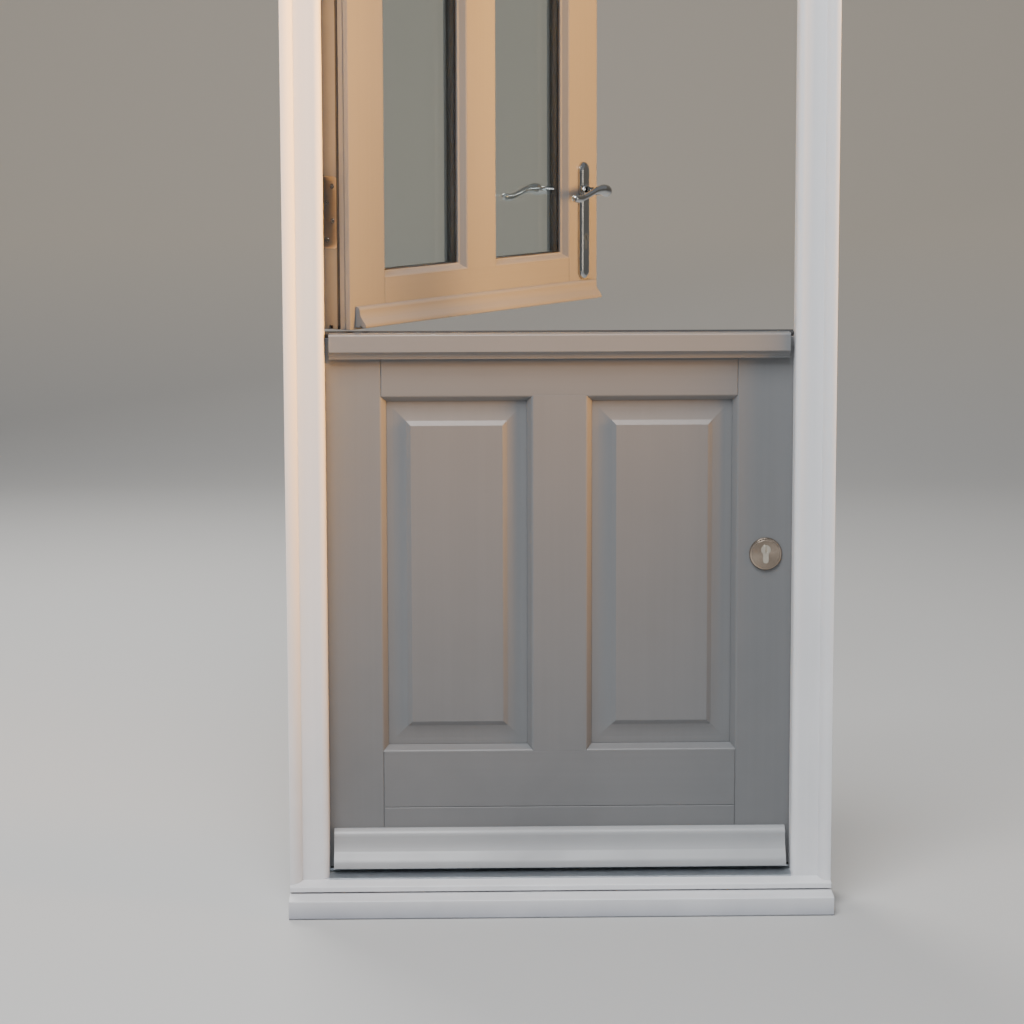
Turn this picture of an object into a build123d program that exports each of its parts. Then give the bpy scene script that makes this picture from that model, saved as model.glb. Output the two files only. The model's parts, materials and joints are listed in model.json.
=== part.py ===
from build123d import *
import math
import os

# Stable door: a timber frame with two leaves, one above the other, hung on its left-hand jamb.
# X runs to the right seen from outside, Y into the house, Z up. The origin is on the underside
# of the sub-sill, midway between the jambs, in the plane of the closed leaves' outside face.
# The lower leaf is closed and the upper leaf stands open, into the house. Lengths are millimetres.

# Driving dimensions: the leaves
LEAF_WIDTH = 838.0
LEAF_THICK = 57.0
LEAF_BOTTOM = 64.0
LEDGE_TOP = 1020.0
UPSTAND = 9.0
MEETING_GAP = 2.5
LEAF_TOP = 2045.0
OPEN_ANGLE = 56.0
STILE = 106.0
MUNTIN = 92.0
LOWER_TOP_RAIL = 101.0
LOWER_MID_RAIL = 101.0
LOWER_BASE_RAIL = 106.6
UPPER_BASE_RAIL = 85.0
UPPER_TOP_RAIL = 103.0
JOINT_GROOVE = 1.8
STUCK_EDGE = 2.5

# The frame
JAMB_WIDTH = 68.0
STOP_LAP = 9.0
SIDE_GAP = 3.0
SEAL_GAP = 3.0
HEAD_GAP = 3.0
FRAME_FRONT = 40.0
OVOLO = 12.0
BEAD = 21.0
SUB_SILL_HEIGHT = 35.0
SUB_SILL_FRONT = 108.0
SILL_NOSE_FRONT = 70.0
SILL_TOP = 52.0
SILL_NOSE_TOP = 48.0
BAR_FRONT = 44.0
BAR_BACK = -12.0
BAR_TOP = 60.0
BAR_RIB = 2.0
BAR_RIB_WIDTH = 6.0
BAR_RAMP = 20.0
BAR_LIP = 2.5
NOSE_CLEAR = 3.0
NOSE_ROUND = 3.0
DRIP_AT = 8.0
DRIP_WIDTH = 4.0
DRIP_DEEP = 3.0

# Panels, mouldings and glazing
MOULD_WIDTH = 11.0
MOULD_ARRIS = 3.2
MOULD_DEPTH = 12.5
MOULD_EDGE = 14.6
PANEL_TONGUE = 10.0
PANEL_SLOPE = 35.0
PANEL_STEP = 8.0
PANEL_FLAT = 12.0
FIELD_BACK = 4.5
STEP_FOOT = 10.0
SLOPE_FOOT = 14.0
PANEL_CLEAR = 0.2
GLAZING_BEAD = 13.0
GLASS_BACK = 18.0
UNIT_THICK = 24.0
PANE_THICK = 4.0
UNIT_CLEAR = 2.0
SPACER_WIDTH = 9.0

# The ledge on the lower leaf and the two weatherboards
LEDGE_OUT = 27.0
LEDGE_FACE = 31.0
LEDGE_HEIGHT = 44.5
END_GAP = 8.0
LOWER_BOARD_TOP = 134.0
LOWER_BOARD_HEIGHT = 66.0
LOWER_BOARD_OUT = 34.0
UPPER_BOARD_RISE = 43.0
UPPER_BOARD_HEIGHT = 37.0
UPPER_BOARD_OUT = 22.0

# Seals and edge grooves
SEAL_SHY = 0.3
SEAL_WIDTH = 6.0
SEAL_END = 5.0
BUBBLE = 8.0
EDGE_GROOVE_AT = 24.0
EDGE_GROOVE = 6.0
EDGE_GROOVE_DEEP = 5.0
EDGE_KERF_AT = 10.0
EDGE_KERF = 2.5
FOOT_GROOVE_AT = 41.0
FOOT_GROOVE = 8.0
FOOT_GROOVE_DEEP = 7.0

# Hinges
HINGE_HEIGHT = 126.0
FLAP_THICK = 3.0
FLAP_WIDTH = 30.0
FLAP_CORNER = 5.0
KNUCKLE_RADIUS = 6.5
KNUCKLES = 5
KNUCKLE_GAP = 0.4
PIN_OUT = 7.0
PIN_RADIUS = 3.0
PIN_FIT = 0.05
PIN_HEAD = 3.0
HINGE_INSET = 205.5

# Locks and their furniture
BACKSET = 55.0
LOWER_CYLINDER = 634.0
UPPER_CYLINDER = 1148.0
LOCK_CENTRES = 92.0
CASE_THICK = 16.0
CASE_DEPTH = 85.0
CASE_DROP = 30.0
FOREND = 22.0
FOREND_THICK = 3.0
UPPER_CASE_HEIGHT = 165.0
UPPER_FOREND_HEIGHT = 235.0
LOWER_CASE_HEIGHT = 104.0
LOWER_FOREND_HEIGHT = 150.0
BARREL = 17.0
BARREL_TAIL = 10.0
BARREL_HEIGHT = 33.0
PLUG_RADIUS = 6.4
PLUG_FIT = 0.1
KEYWAY = 2.4
CAM_REACH = 14.0
CAM_WIDTH = 9.0
CAM_THICK = 8.0
CAM_FIT = 1.0
KEY_DEPTH = 9.0
KEY_HEIGHT = 9.0
CASE_FIT = 0.3
COVER_FIT = 0.2
PLATE_CORNER = 3.0
BOLT_TRAVEL = 13.0
BOLT_SHY = 0.5
BOLT_FIT = 0.4
DEADBOLT = (10.0, 28.0)
DEADBOLT_LENGTH = 60.0
LOWER_DEADBOLT_RISE = 34.0
UPPER_DEADBOLT_RISE = 40.0
LATCH_RISE = 28.0
LATCH_LENGTH = 45.0
UPPER_KEEP_DROP = 20.0
LATCH = (10.0, 16.0)
LATCH_OUT = 11.0
KEEP_THICK = 2.0
KEEP_WIDTH = 24.0
UPPER_KEEP_HEIGHT = 150.0
LOWER_KEEP_HEIGHT = 90.0
KEEP_CLEAR = 1.5
POCKET_DEPTH = 24.0
PLATE_HEIGHT = 233.0
PLATE_WIDTH = 35.0
PLATE_THICK = 8.5
PLATE_CLEAR = 2.0
PLATE_DOME = ((0.0, 0.0), (0.0, 0.45), (1.3, 0.68), (3.6, 0.86), (7.5, 1.0))
LEVER_STAND = 55.0
LEVER_REACH = 124.0
LEVER_STATIONS = (
    (-0.085, 1.0, 6.0, 6.0),
    (-0.06, 1.0, 9.5, 9.0),
    (0.0, 1.5, 12.0, 10.5),
    (0.08, 3.0, 11.5, 10.0),
    (0.18, 4.0, 9.0, 8.5),
    (0.32, 2.5, 7.0, 7.0),
    (0.5, -3.0, 6.2, 6.6),
    (0.68, -8.5, 6.5, 7.0),
    (0.82, -11.0, 7.4, 7.6),
    (0.94, -10.0, 7.4, 7.4),
    (1.0, -9.0, 5.0, 5.0),
)
SPINDLE = 8.0
SPINDLE_ENTRY = 10.0
NECK_RADIUS = 8.0
NECK_FIT = 0.3
COLLAR = 5.0
COLLAR_PROUD = 3.0
ESCUTCHEON_RADIUS = 29.0
ESCUTCHEON_THICK = 7.0
ESCUTCHEON_DROP = 8.0
ESCUTCHEON_RIM = ((1.0, 0.0), (1.0, 0.4), (0.95, 0.75), (0.86, 0.88), (0.84, 1.0))

# The bolt that ties the two leaves together, on the room side
TIE_BOLT_INSET = 169.0
TIE_ROD_RADIUS = 5.0
TIE_ROD_FIT = 0.4
TIE_PLATE = (32.0, 3.0)
TIE_BOLT_HEIGHT = 74.0
TIE_BOLT_RISE = 4.5
TIE_KEEP_HEIGHT = 22.0
TIE_KEEP_DROP = 4.0
TIE_ROD_STAND = 11.0
TIE_CORNER = 4.0
TIE_GUIDE = 10.0
TIE_GUIDE_INSET = 3.0
TIE_GUIDE_WALL = 3.0
TIE_STEM_RISE = 52.0
TIE_STEM_RADIUS = 2.5
TIE_KNOB = (5.0, 12.0, 20.0)
TIE_SOFT = 1.5

# Fixing holes through the jambs
FIXING_RADIUS = 4.0
FIXING_HEIGHTS = (300.0, 800.0, 1380.0, 1880.0)
FIXING_DEPTH = 12.0

# Worked out from the sizes above
LEAF_EDGE = LEAF_WIDTH / 2
REBATE = LEAF_EDGE + SIDE_GAP
SIGHT = LEAF_EDGE - STOP_LAP
FRAME_EDGE = SIGHT + JAMB_WIDTH
HEAD_REBATE = LEAF_TOP + HEAD_GAP
HEAD_SIGHT = LEAF_TOP - STOP_LAP
FRAME_TOP = HEAD_SIGHT + JAMB_WIDTH
UPPER_BOTTOM = LEDGE_TOP + MEETING_GAP
LOWER_TOP = LEDGE_TOP - UPSTAND
RAIL_END = LEAF_EDGE - STILE
MID_PLANE = LEAF_THICK / 2
AXIS_X = -(LEAF_EDGE + SIDE_GAP / 2)
AXIS_Y = LEAF_THICK + PIN_OUT
LOCK_X = LEAF_EDGE - BACKSET
TIE_BOLT_X = LEAF_EDGE - TIE_BOLT_INSET
TIE_BOLT_FOOT = UPPER_BOTTOM + TIE_BOLT_RISE
LOWER_HINGES = (LEAF_BOTTOM + HINGE_INSET, LOWER_TOP - HINGE_INSET)
UPPER_HINGES = (UPPER_BOTTOM + HINGE_INSET, LEAF_TOP - HINGE_INSET)
SPINDLE_Z = UPPER_CYLINDER + LOCK_CENTRES
LATCH_Z = SPINDLE_Z + LATCH_RISE
UPPER_DEADBOLT = UPPER_CYLINDER + UPPER_DEADBOLT_RISE
PLATE_CENTRE = LEDGE_TOP + UPPER_BOARD_RISE + PLATE_CLEAR + PLATE_HEIGHT / 2
LOWER_DEADBOLT = LOWER_CYLINDER + LOWER_DEADBOLT_RISE
BOARD_END = SIGHT - END_GAP
BASE_JOINT = LEAF_BOTTOM + LOWER_BASE_RAIL
LOWER_OPEN_Z = (BASE_JOINT + LOWER_MID_RAIL, LOWER_TOP - LOWER_TOP_RAIL)
UPPER_OPEN_Z = (UPPER_BOTTOM + UPPER_BASE_RAIL, LEAF_TOP - UPPER_TOP_RAIL)
OPEN_X = (MUNTIN / 2, RAIL_END + STUCK_EDGE)
OPEN_HALF = (OPEN_X[1] - OPEN_X[0]) / 2
OPEN_MID = (OPEN_X[1] + OPEN_X[0]) / 2


def curve(points):
    """Joined edges through points; a point of four numbers is an arc's middle and its end."""
    edges = Curve()
    here = points[0]
    for point in points[1:]:
        if len(point) == 4:
            edges += ThreePointArc(here, point[:2], point[2:])
        else:
            edges += Line(here, point)
        here = point[-2:]
    return edges


def outline(points):
    """A closed face whose last point joins its first."""
    return make_face(curve(list(points) + [points[0]]))


def along_x(points, x0, x1):
    """A profile in Y and Z, drawn out from x0 to x1."""
    return Pos(x0, 0, 0) * extrude(Plane.YZ * outline(points), x1 - x0)


def along_z(points, z0, z1):
    """A profile in X and Y, drawn up from z0 to z1."""
    return Pos(0, 0, z0) * extrude(outline(points), z1 - z0)


def block(x0, x1, y0, y1, z0, z1):
    """A box between two corners."""
    return Pos((x0 + x1) / 2, (y0 + y1) / 2, (z0 + z1) / 2) * Box(x1 - x0, y1 - y0, z1 - z0)


def mid_block(x0, x1, thick, z0, z1):
    """A box that lies on the leaf's middle plane."""
    return block(x0, x1, MID_PLANE - thick / 2, MID_PLANE + thick / 2, z0, z1)


def rod_y(radius, x, z, y0, y1):
    """A round bar through the leaf's thickness."""
    return Pos(x, (y0 + y1) / 2, z) * Rot(90, 0, 0) * Cylinder(radius, y1 - y0)


def wide_slab(points, half, length):
    """The region within half minus an inset that changes with Y; points are (inset, y)."""
    right = []
    for point in points:
        insets, depths = point[0::2], point[1::2]
        placed = [value for inset, y in zip(insets, depths) for value in (half - inset, y)]
        right.append(tuple(placed))
    side = curve(right)
    first, last = right[0][:2], right[-1][-2:]
    ends = Line(first, (-first[0], first[1])) + Line(last, (-last[0], last[1]))
    face = make_face(side + mirror(side, about=Plane.YZ) + ends)
    return Pos(0, 0, -length / 2) * extrude(face, length)


def mitred(points, half_x, half_z, centre):
    """A rectangular block whose four sides all follow one profile and meet in mitres."""
    reach = 2 * max(half_x, half_z) + 2 * LEAF_THICK
    upright = wide_slab(points, half_x, reach)
    level = Rot(0, 90, 0) * wide_slab(points, half_z, reach)
    return Pos(*centre) * (upright & level)


def mirrored(shape):
    """The same piece on the other side of the door's middle."""
    return mirror(shape, about=Plane.YZ)


def room_side(shape):
    """The same piece turned to the leaf's room side."""
    return mirror(shape, about=Plane.XZ.offset(-MID_PLANE))


def swung(shape):
    """A piece of the upper leaf, turned with it about the hinge pins."""
    return Pos(AXIS_X, AXIS_Y, 0) * Rot(0, 0, OPEN_ANGLE) * Pos(-AXIS_X, -AXIS_Y, 0) * shape


def joint_groove_z(x, z0, z1):
    """V-shaped grooves down both faces, where a rail meets a stile."""
    vee = Rot(0, 0, 45) * Box(JOINT_GROOVE, JOINT_GROOVE, z1 - z0)
    middle = (z0 + z1) / 2
    return Pos(x, 0, middle) * vee + Pos(x, LEAF_THICK, middle) * vee


def joint_groove_x(z):
    """V-shaped grooves across both faces, where two rails meet."""
    vee = Rot(45, 0, 0) * Box(2 * RAIL_END, JOINT_GROOVE, JOINT_GROOVE)
    return Pos(0, 0, z) * vee + Pos(0, LEAF_THICK, z) * vee


def frame_opening():
    """What the frame's head and jambs leave free: ovolo, stop and rebate."""
    bulge = OVOLO * (1 - math.cos(math.radians(45)))
    rebate = SIGHT + OVOLO - REBATE
    points = [
        (0, -FRAME_FRONT - 1),
        (0, -FRAME_FRONT),
        (OVOLO - bulge, -FRAME_FRONT + bulge, OVOLO, -FRAME_FRONT + OVOLO),
        (OVOLO, -SEAL_GAP),
        (rebate, -SEAL_GAP),
        (rebate, LEAF_THICK + 1),
    ]
    half_x = SIGHT + OVOLO
    half_z = HEAD_SIGHT + OVOLO
    return mitred(points, half_x, half_z, (0, 0, 0))


def sill():
    """Timber sill: a sloping top, a rounded nose and a drip groove under it."""
    foot = SUB_SILL_HEIGHT + NOSE_CLEAR
    nose = -SILL_NOSE_FRONT
    drip = nose + DRIP_AT
    behind = drip + DRIP_WIDTH + 2
    points = [
        (LEAF_THICK, SUB_SILL_HEIGHT),
        (LEAF_THICK, SILL_TOP),
        (-BAR_FRONT - 1, SILL_TOP),
        (nose + NOSE_ROUND, SILL_NOSE_TOP),
        (nose + NOSE_ROUND * 0.3, SILL_NOSE_TOP - NOSE_ROUND * 0.3, nose, SILL_NOSE_TOP - NOSE_ROUND),
        (nose, foot),
        (drip, foot),
        (drip + DRIP_WIDTH / 2, foot + DRIP_DEEP, drip + DRIP_WIDTH, foot),
        (behind, foot),
        (behind, SUB_SILL_HEIGHT),
    ]
    return along_x(points, -FRAME_EDGE, FRAME_EDGE)


def sub_sill():
    """Wide board under the sill, with a gently falling top and a drip groove."""
    front = -SUB_SILL_FRONT
    round_off = 2.0
    edge = SUB_SILL_HEIGHT - round_off
    drip = front + 2 * DRIP_AT
    points = [
        (LEAF_THICK, 0),
        (LEAF_THICK, SUB_SILL_HEIGHT),
        (-SILL_NOSE_FRONT + DRIP_AT, SUB_SILL_HEIGHT),
        (front + round_off, edge),
        (front + round_off * 0.3, edge - round_off * 0.3, front, edge - round_off),
        (front, round_off),
        (front + round_off, 0),
        (drip, 0),
        (drip + DRIP_WIDTH / 2, DRIP_DEEP, drip + DRIP_WIDTH, 0),
    ]
    return along_x(points, -FRAME_EDGE, FRAME_EDGE)


def weather_bar():
    """Metal threshold strip: a ramped front, two ribs on top and a lower strip between them."""
    low = BAR_TOP - BAR_RIB
    back = -BAR_BACK
    ramp = -BAR_FRONT + BAR_RAMP
    points = [
        (back, SILL_TOP),
        (back, low),
        (back - BAR_RIB_WIDTH, low),
        (back - BAR_RIB_WIDTH, BAR_TOP),
        (back - 2 * BAR_RIB_WIDTH, BAR_TOP),
        (back - 2 * BAR_RIB_WIDTH, low),
        (ramp + BAR_RIB_WIDTH, low),
        (ramp + BAR_RIB_WIDTH, BAR_TOP),
        (ramp, BAR_TOP),
        (-BAR_FRONT, SILL_TOP + BAR_LIP),
        (-BAR_FRONT, SILL_TOP),
    ]
    return along_x(points, -SIGHT, SIGHT)


def jamb_block():
    """The left jamb before its holes: a post with the frame's section, stood on the sill."""
    post = block(-FRAME_EDGE, -SIGHT + 1, -FRAME_FRONT, LEAF_THICK, SILL_NOSE_TOP - 6, HEAD_SIGHT)
    return post - frame_opening() - sill() - weather_bar()


def fixing_holes():
    """Clearance holes for the screws that hold a jamb to the wall."""
    middle = -(REBATE + FRAME_EDGE) / 2
    drill = Rot(0, 90, 0) * Cylinder(FIXING_RADIUS, FRAME_EDGE - REBATE + 4)
    holes = Part()
    for height in FIXING_HEIGHTS:
        holes += Pos(middle, FIXING_DEPTH, height) * drill
    return holes


def head():
    """Top member of the frame, over both jambs."""
    beam = block(-FRAME_EDGE, FRAME_EDGE, -FRAME_FRONT, LEAF_THICK, HEAD_SIGHT, FRAME_TOP)
    return beam - frame_opening()


def quarter_bead():
    """Quarter-round section in the frame's outer corner, as (across, out) from that corner."""
    bulge = BEAD * math.cos(math.radians(45))
    return [(0, 0), (BEAD, 0), (bulge, bulge, 0, BEAD)]


def bead_mitre():
    """Wedge that keeps the left half above the frame's top left mitre line."""
    size = 2 * BEAD
    corner = Pos(-FRAME_EDGE, -FRAME_FRONT, FRAME_TOP)
    wedge = Pos(size / 2, 0, size / 2) * Box(size * 4, size * 4, size)
    return corner * Rot(0, 45, 0) * wedge


def cover_bead_left():
    """Quarter-round cover bead up the left jamb, cut to the sill below and a mitre above."""
    section = Pos(-FRAME_EDGE, -FRAME_FRONT) * Rot(180, 0, 0) * outline(quarter_bead())
    height = FRAME_TOP - SILL_NOSE_TOP + 2
    post = Pos(0, 0, SILL_NOSE_TOP - 2) * extrude(section, height, dir=(0, 0, 1))
    return post - sill() - bead_mitre()


def cover_bead_head():
    """Quarter-round cover bead along the head, mitred at both ends."""
    corner = Plane(origin=(FRAME_EDGE, -FRAME_FRONT, FRAME_TOP), x_dir=(0, 0, -1), z_dir=(-1, 0, 0))
    bar = extrude(corner * outline(quarter_bead()), 2 * FRAME_EDGE)
    left_end = bar & bead_mitre()
    trim = 2 * BEAD
    middle = bar & block(-FRAME_EDGE + trim, FRAME_EDGE - trim, -FRAME_FRONT - trim, 0, 0, FRAME_TOP + 1)
    return middle + left_end + mirrored(left_end)


def frame_seals():
    """Flipper seals on the stops of both jambs and the head."""
    proud = SEAL_GAP - SEAL_SHY
    inner = SIGHT + 2
    outer = inner + SEAL_WIDTH
    section = [
        (-outer, -SEAL_GAP),
        (-outer, -SEAL_GAP + proud / 2),
        ((-outer - inner) / 2, -SEAL_GAP + proud, -inner, -SEAL_GAP + proud / 2),
        (-inner, -SEAL_GAP),
    ]
    top = HEAD_SIGHT + 2
    side = along_z(section, BAR_TOP + 2, top - 0.5)
    level = [
        (-SEAL_GAP, top),
        (-SEAL_GAP + proud / 2, top),
        (-SEAL_GAP + proud, top + SEAL_WIDTH / 2, -SEAL_GAP + proud / 2, top + SEAL_WIDTH),
        (-SEAL_GAP, top + SEAL_WIDTH),
    ]
    return [side, mirrored(side), along_x(level, -outer, outer)]


def hinge_recess(side, z):
    """Pocket for one hinge flap: side -1 is the jamb's, side +1 is the leaf's."""
    face = -REBATE if side < 0 else -LEAF_EDGE
    deep = face + side * FLAP_THICK
    low, high = min(face, deep), max(face, deep)
    return flap_plate(low, high, z)


def flap_plate(low, high, z):
    """Flat of a hinge flap, with its two inner corners rounded."""
    half = HINGE_HEIGHT / 2
    plate = block(low, high, LEAF_THICK - FLAP_WIDTH, LEAF_THICK, z - half, z + half)
    return fillet(plate.edges().filter_by(Axis.X).group_by(Axis.Y)[0], FLAP_CORNER)


def knuckle_span(index):
    """Lowest and highest point of one knuckle, from the hinge's middle."""
    pitch = HINGE_HEIGHT / KNUCKLES
    low = -HINGE_HEIGHT / 2 + index * pitch + KNUCKLE_GAP / 2
    return low, low + pitch - KNUCKLE_GAP


def hinge_flap(side, z):
    """One flap with its own knuckles; the jamb's has the odd ones, the leaf's the even."""
    face = -REBATE if side < 0 else -LEAF_EDGE
    deep = face + side * FLAP_THICK
    low, high = min(face, deep), max(face, deep)
    flap = flap_plate(low, high, z)
    for index in range(0 if side < 0 else 1, KNUCKLES, 2):
        bottom, top = knuckle_span(index)
        middle = z + (bottom + top) / 2
        arm = block(low, high, LEAF_THICK - 1, AXIS_Y, z + bottom, z + top)
        flap += arm + Pos(AXIS_X, AXIS_Y, middle) * Cylinder(KNUCKLE_RADIUS, top - bottom)
    return flap - Pos(AXIS_X, AXIS_Y, z) * Cylinder(PIN_RADIUS + PIN_FIT, HINGE_HEIGHT + 2)


def hinge_pin(z):
    """Loose pin with a domed head on top and a rounded tail."""
    top = HINGE_HEIGHT / 2
    shaft = Pos(0, 0, -1) * Cylinder(PIN_RADIUS, HINGE_HEIGHT + 2)
    cap = Pos(0, 0, top + PIN_HEAD / 2) * Cylinder(KNUCKLE_RADIUS - 1, PIN_HEAD)
    cap = chamfer(cap.edges().group_by(Axis.Z)[-1], PIN_HEAD * 0.5)
    return Pos(AXIS_X, AXIS_Y, z) * (shaft + cap)


def hinge_stile(bottom, top, hinges):
    """Stile on the hinge side, with an edge kerf, a seal groove and pockets for the flaps."""
    groove = EDGE_GROOVE / 2
    kerf = EDGE_KERF / 2
    points = [
        (-RAIL_END, 0),
        (-RAIL_END, LEAF_THICK),
        (-LEAF_EDGE, LEAF_THICK),
        (-LEAF_EDGE, EDGE_GROOVE_AT + groove),
        (-LEAF_EDGE + EDGE_GROOVE_DEEP, EDGE_GROOVE_AT + groove),
        (-LEAF_EDGE + EDGE_GROOVE_DEEP, EDGE_GROOVE_AT - groove),
        (-LEAF_EDGE, EDGE_GROOVE_AT - groove),
        (-LEAF_EDGE, EDGE_KERF_AT + kerf),
        (-LEAF_EDGE + EDGE_KERF, EDGE_KERF_AT),
        (-LEAF_EDGE, EDGE_KERF_AT - kerf),
        (-LEAF_EDGE, 1.5),
        (-LEAF_EDGE + 0.45, 0.45, -LEAF_EDGE + 1.5, 0),
    ]
    stile = along_z(points, bottom, top)
    for z in hinges:
        stile -= hinge_recess(1, z)
    return stile


def lock_stile(bottom, top):
    """Stile on the lock side, with softened edges."""
    points = [
        (RAIL_END, 0),
        (RAIL_END, LEAF_THICK),
        (LEAF_EDGE - 1, LEAF_THICK),
        (LEAF_EDGE, LEAF_THICK - 1),
        (LEAF_EDGE, 1.5),
        (LEAF_EDGE - 0.45, 0.45, LEAF_EDGE - 1.5, 0),
    ]
    return along_z(points, bottom, top)


def rim(x, span, reach):
    """Four prisms inside an opening's edges, mitred at its corners, as deep as the leaf."""
    half_x, half_z = OPEN_HALF, (span[1] - span[0]) / 2
    upright = [(-half_x, -half_z), (-half_x, half_z), (-half_x + reach, half_z - reach),
               (-half_x + reach, -half_z + reach)]
    level = [(-half_x, -half_z), (half_x, -half_z), (half_x - reach, -half_z + reach),
             (-half_x + reach, -half_z + reach)]
    centre = Pos(x, 0, (span[0] + span[1]) / 2)
    turn = Rot(0, 180, 0)
    left = extrude(Plane.XZ * outline(upright), -LEAF_THICK)
    lower = extrude(Plane.XZ * outline(level), -LEAF_THICK)
    return {"left": centre * left, "right": centre * turn * left,
            "lower": centre * lower, "upper": centre * turn * lower}


def rail(bottom, top, lips):
    """Rail between the two stiles, with the moulded lips worked on it."""
    bar = block(-RAIL_END, RAIL_END, 0, LEAF_THICK, bottom, top)
    reach = GLAZING_BEAD + 1
    for lip in lips:
        bar += lip & block(-RAIL_END, RAIL_END, 0, LEAF_THICK, bottom - reach, top + reach)
    return bar


def edge_seal(bottom, top):
    """Weather seal in the groove of the hinge edge."""
    half = EDGE_GROOVE / 2
    proud = SIDE_GAP - 0.8
    points = [
        (-LEAF_EDGE + EDGE_GROOVE_DEEP, EDGE_GROOVE_AT - half),
        (-LEAF_EDGE + EDGE_GROOVE_DEEP, EDGE_GROOVE_AT + half),
        (-LEAF_EDGE, EDGE_GROOVE_AT + half),
        (-LEAF_EDGE - proud, EDGE_GROOVE_AT, -LEAF_EDGE, EDGE_GROOVE_AT - half),
    ]
    return along_z(points, bottom + SEAL_END, top - SEAL_END)


def both_faces(front):
    """A profile of (inset, y) points on the outside face, and then its like on the room side."""
    back = []
    previous = None
    for point in reversed(front):
        end = (point[-2], LEAF_THICK - point[-1])
        if previous is not None and len(previous) == 4:
            back.append((previous[0], LEAF_THICK - previous[1]) + end)
        else:
            back.append(end)
        previous = point
    return front + back


def panel_profile():
    """Moulded edge round a panel opening: a softened arris and a steep splay down to the panel."""
    return both_faces([
        (0, -1),
        (0, 0),
        (MOULD_ARRIS * 0.38, MOULD_ARRIS * 0.10, MOULD_ARRIS, MOULD_ARRIS * 0.55),
        (MOULD_WIDTH, MOULD_DEPTH),
        (MOULD_WIDTH, MOULD_EDGE),
        (-PANEL_CLEAR, MOULD_EDGE),
    ])


def panel_opening(x):
    """What one panel opening takes out of the lower leaf."""
    bottom, top = LOWER_OPEN_Z
    centre = (x, 0, (bottom + top) / 2)
    return mitred(panel_profile(), OPEN_HALF, (top - bottom) / 2, centre)


def raised_panel(x):
    """Raised and fielded panel: a tongue in the grooves, a flat, a hollow slope, a step, a field."""
    bottom, top = LOWER_OPEN_Z
    sight = MOULD_WIDTH
    middle = (PANEL_FLAT + PANEL_SLOPE) / 2
    hollow = SLOPE_FOOT - (SLOPE_FOOT - STEP_FOOT) * 0.3
    profile = both_faces([
        (sight + PANEL_SLOPE + PANEL_STEP, FIELD_BACK),
        (sight + PANEL_SLOPE, STEP_FOOT),
        (sight + middle, hollow, sight + PANEL_FLAT, SLOPE_FOOT),
        (sight, SLOPE_FOOT),
        (sight, MOULD_EDGE),
        (sight - PANEL_TONGUE, MOULD_EDGE),
    ])
    centre = (x, 0, (bottom + top) / 2)
    return mitred(profile, OPEN_HALF, (top - bottom) / 2, centre)


def glazing_opening(x):
    """What one pane takes out of the upper leaf: a rebate outside, an ovolo lip inside."""
    bottom, top = UPPER_OPEN_Z
    back = GLASS_BACK + UNIT_THICK
    lip = LEAF_THICK - back
    bulge = lip * (1 - math.cos(math.radians(45)))
    points = [
        (0, -1),
        (0, back),
        (GLAZING_BEAD, back),
        (GLAZING_BEAD, back + 3),
        (GLAZING_BEAD - bulge, LEAF_THICK - bulge - 1, 2, LEAF_THICK),
        (2, LEAF_THICK + 1),
    ]
    centre = (x, 0, (bottom + top) / 2)
    return mitred(points, OPEN_HALF, (top - bottom) / 2, centre)


def glazing_beads(x):
    """Four mitred beads that hold one glass unit from outside."""
    bottom, top = UPPER_OPEN_Z
    half_x, half_z = OPEN_HALF, (top - bottom) / 2
    inside = [
        (1.5, -1),
        (1.5, 0),
        (3.5, 1.5),
        (GLAZING_BEAD - 3, GLASS_BACK - 6),
        (GLAZING_BEAD, GLASS_BACK - 4),
        (GLAZING_BEAD, GLASS_BACK + 1),
    ]
    ring = block(x - half_x, x + half_x, 0, GLASS_BACK, bottom, top)
    ring -= mitred(inside, half_x, half_z, (x, 0, (bottom + top) / 2))
    return [ring & wedge for wedge in rim(x, UPPER_OPEN_Z, GLAZING_BEAD + 5).values()]


def unit_box(x, y0, y1, inset):
    """A rectangle inside one pane opening."""
    bottom, top = UPPER_OPEN_Z
    return block(x - OPEN_HALF + inset, x + OPEN_HALF - inset, y0, y1, bottom + inset, top - inset)


def glass_pair(x):
    """The two sheets of one sealed unit."""
    outer = unit_box(x, GLASS_BACK, GLASS_BACK + PANE_THICK, UNIT_CLEAR)
    back = GLASS_BACK + UNIT_THICK
    inner = unit_box(x, back - PANE_THICK, back, UNIT_CLEAR)
    return [outer, inner]


def glass_spacer(x):
    """Spacer frame between the two sheets, as deep as the bead covers and a little more."""
    front, back = GLASS_BACK + PANE_THICK, GLASS_BACK + UNIT_THICK - PANE_THICK
    ring = unit_box(x, front, back, UNIT_CLEAR + 3)
    return ring - unit_box(x, front - 1, back + 1, UNIT_CLEAR + 3 + SPACER_WIDTH)


def weatherboard(top, height, out):
    """Moulded board that throws rain clear: a round shoulder, a hollow, a full nose and a drip."""
    foot = top - height
    points = [
        (0, top),
        (-out * 0.27, top - height * 0.05, -out * 0.41, top - height * 0.18),
        (-out * 0.45, top - height * 0.37, -out * 0.62, top - height * 0.58),
        (-out * 0.88, top - height * 0.77),
        (-out * 0.98, top - height * 0.87, -out, foot + 1),
        (-out + 1, foot),
        (-out * 0.62, foot),
        (-out * 0.52, foot + height * 0.08, -out * 0.42, foot),
        (0, foot),
    ]
    return along_x(points, -BOARD_END, BOARD_END)


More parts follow.
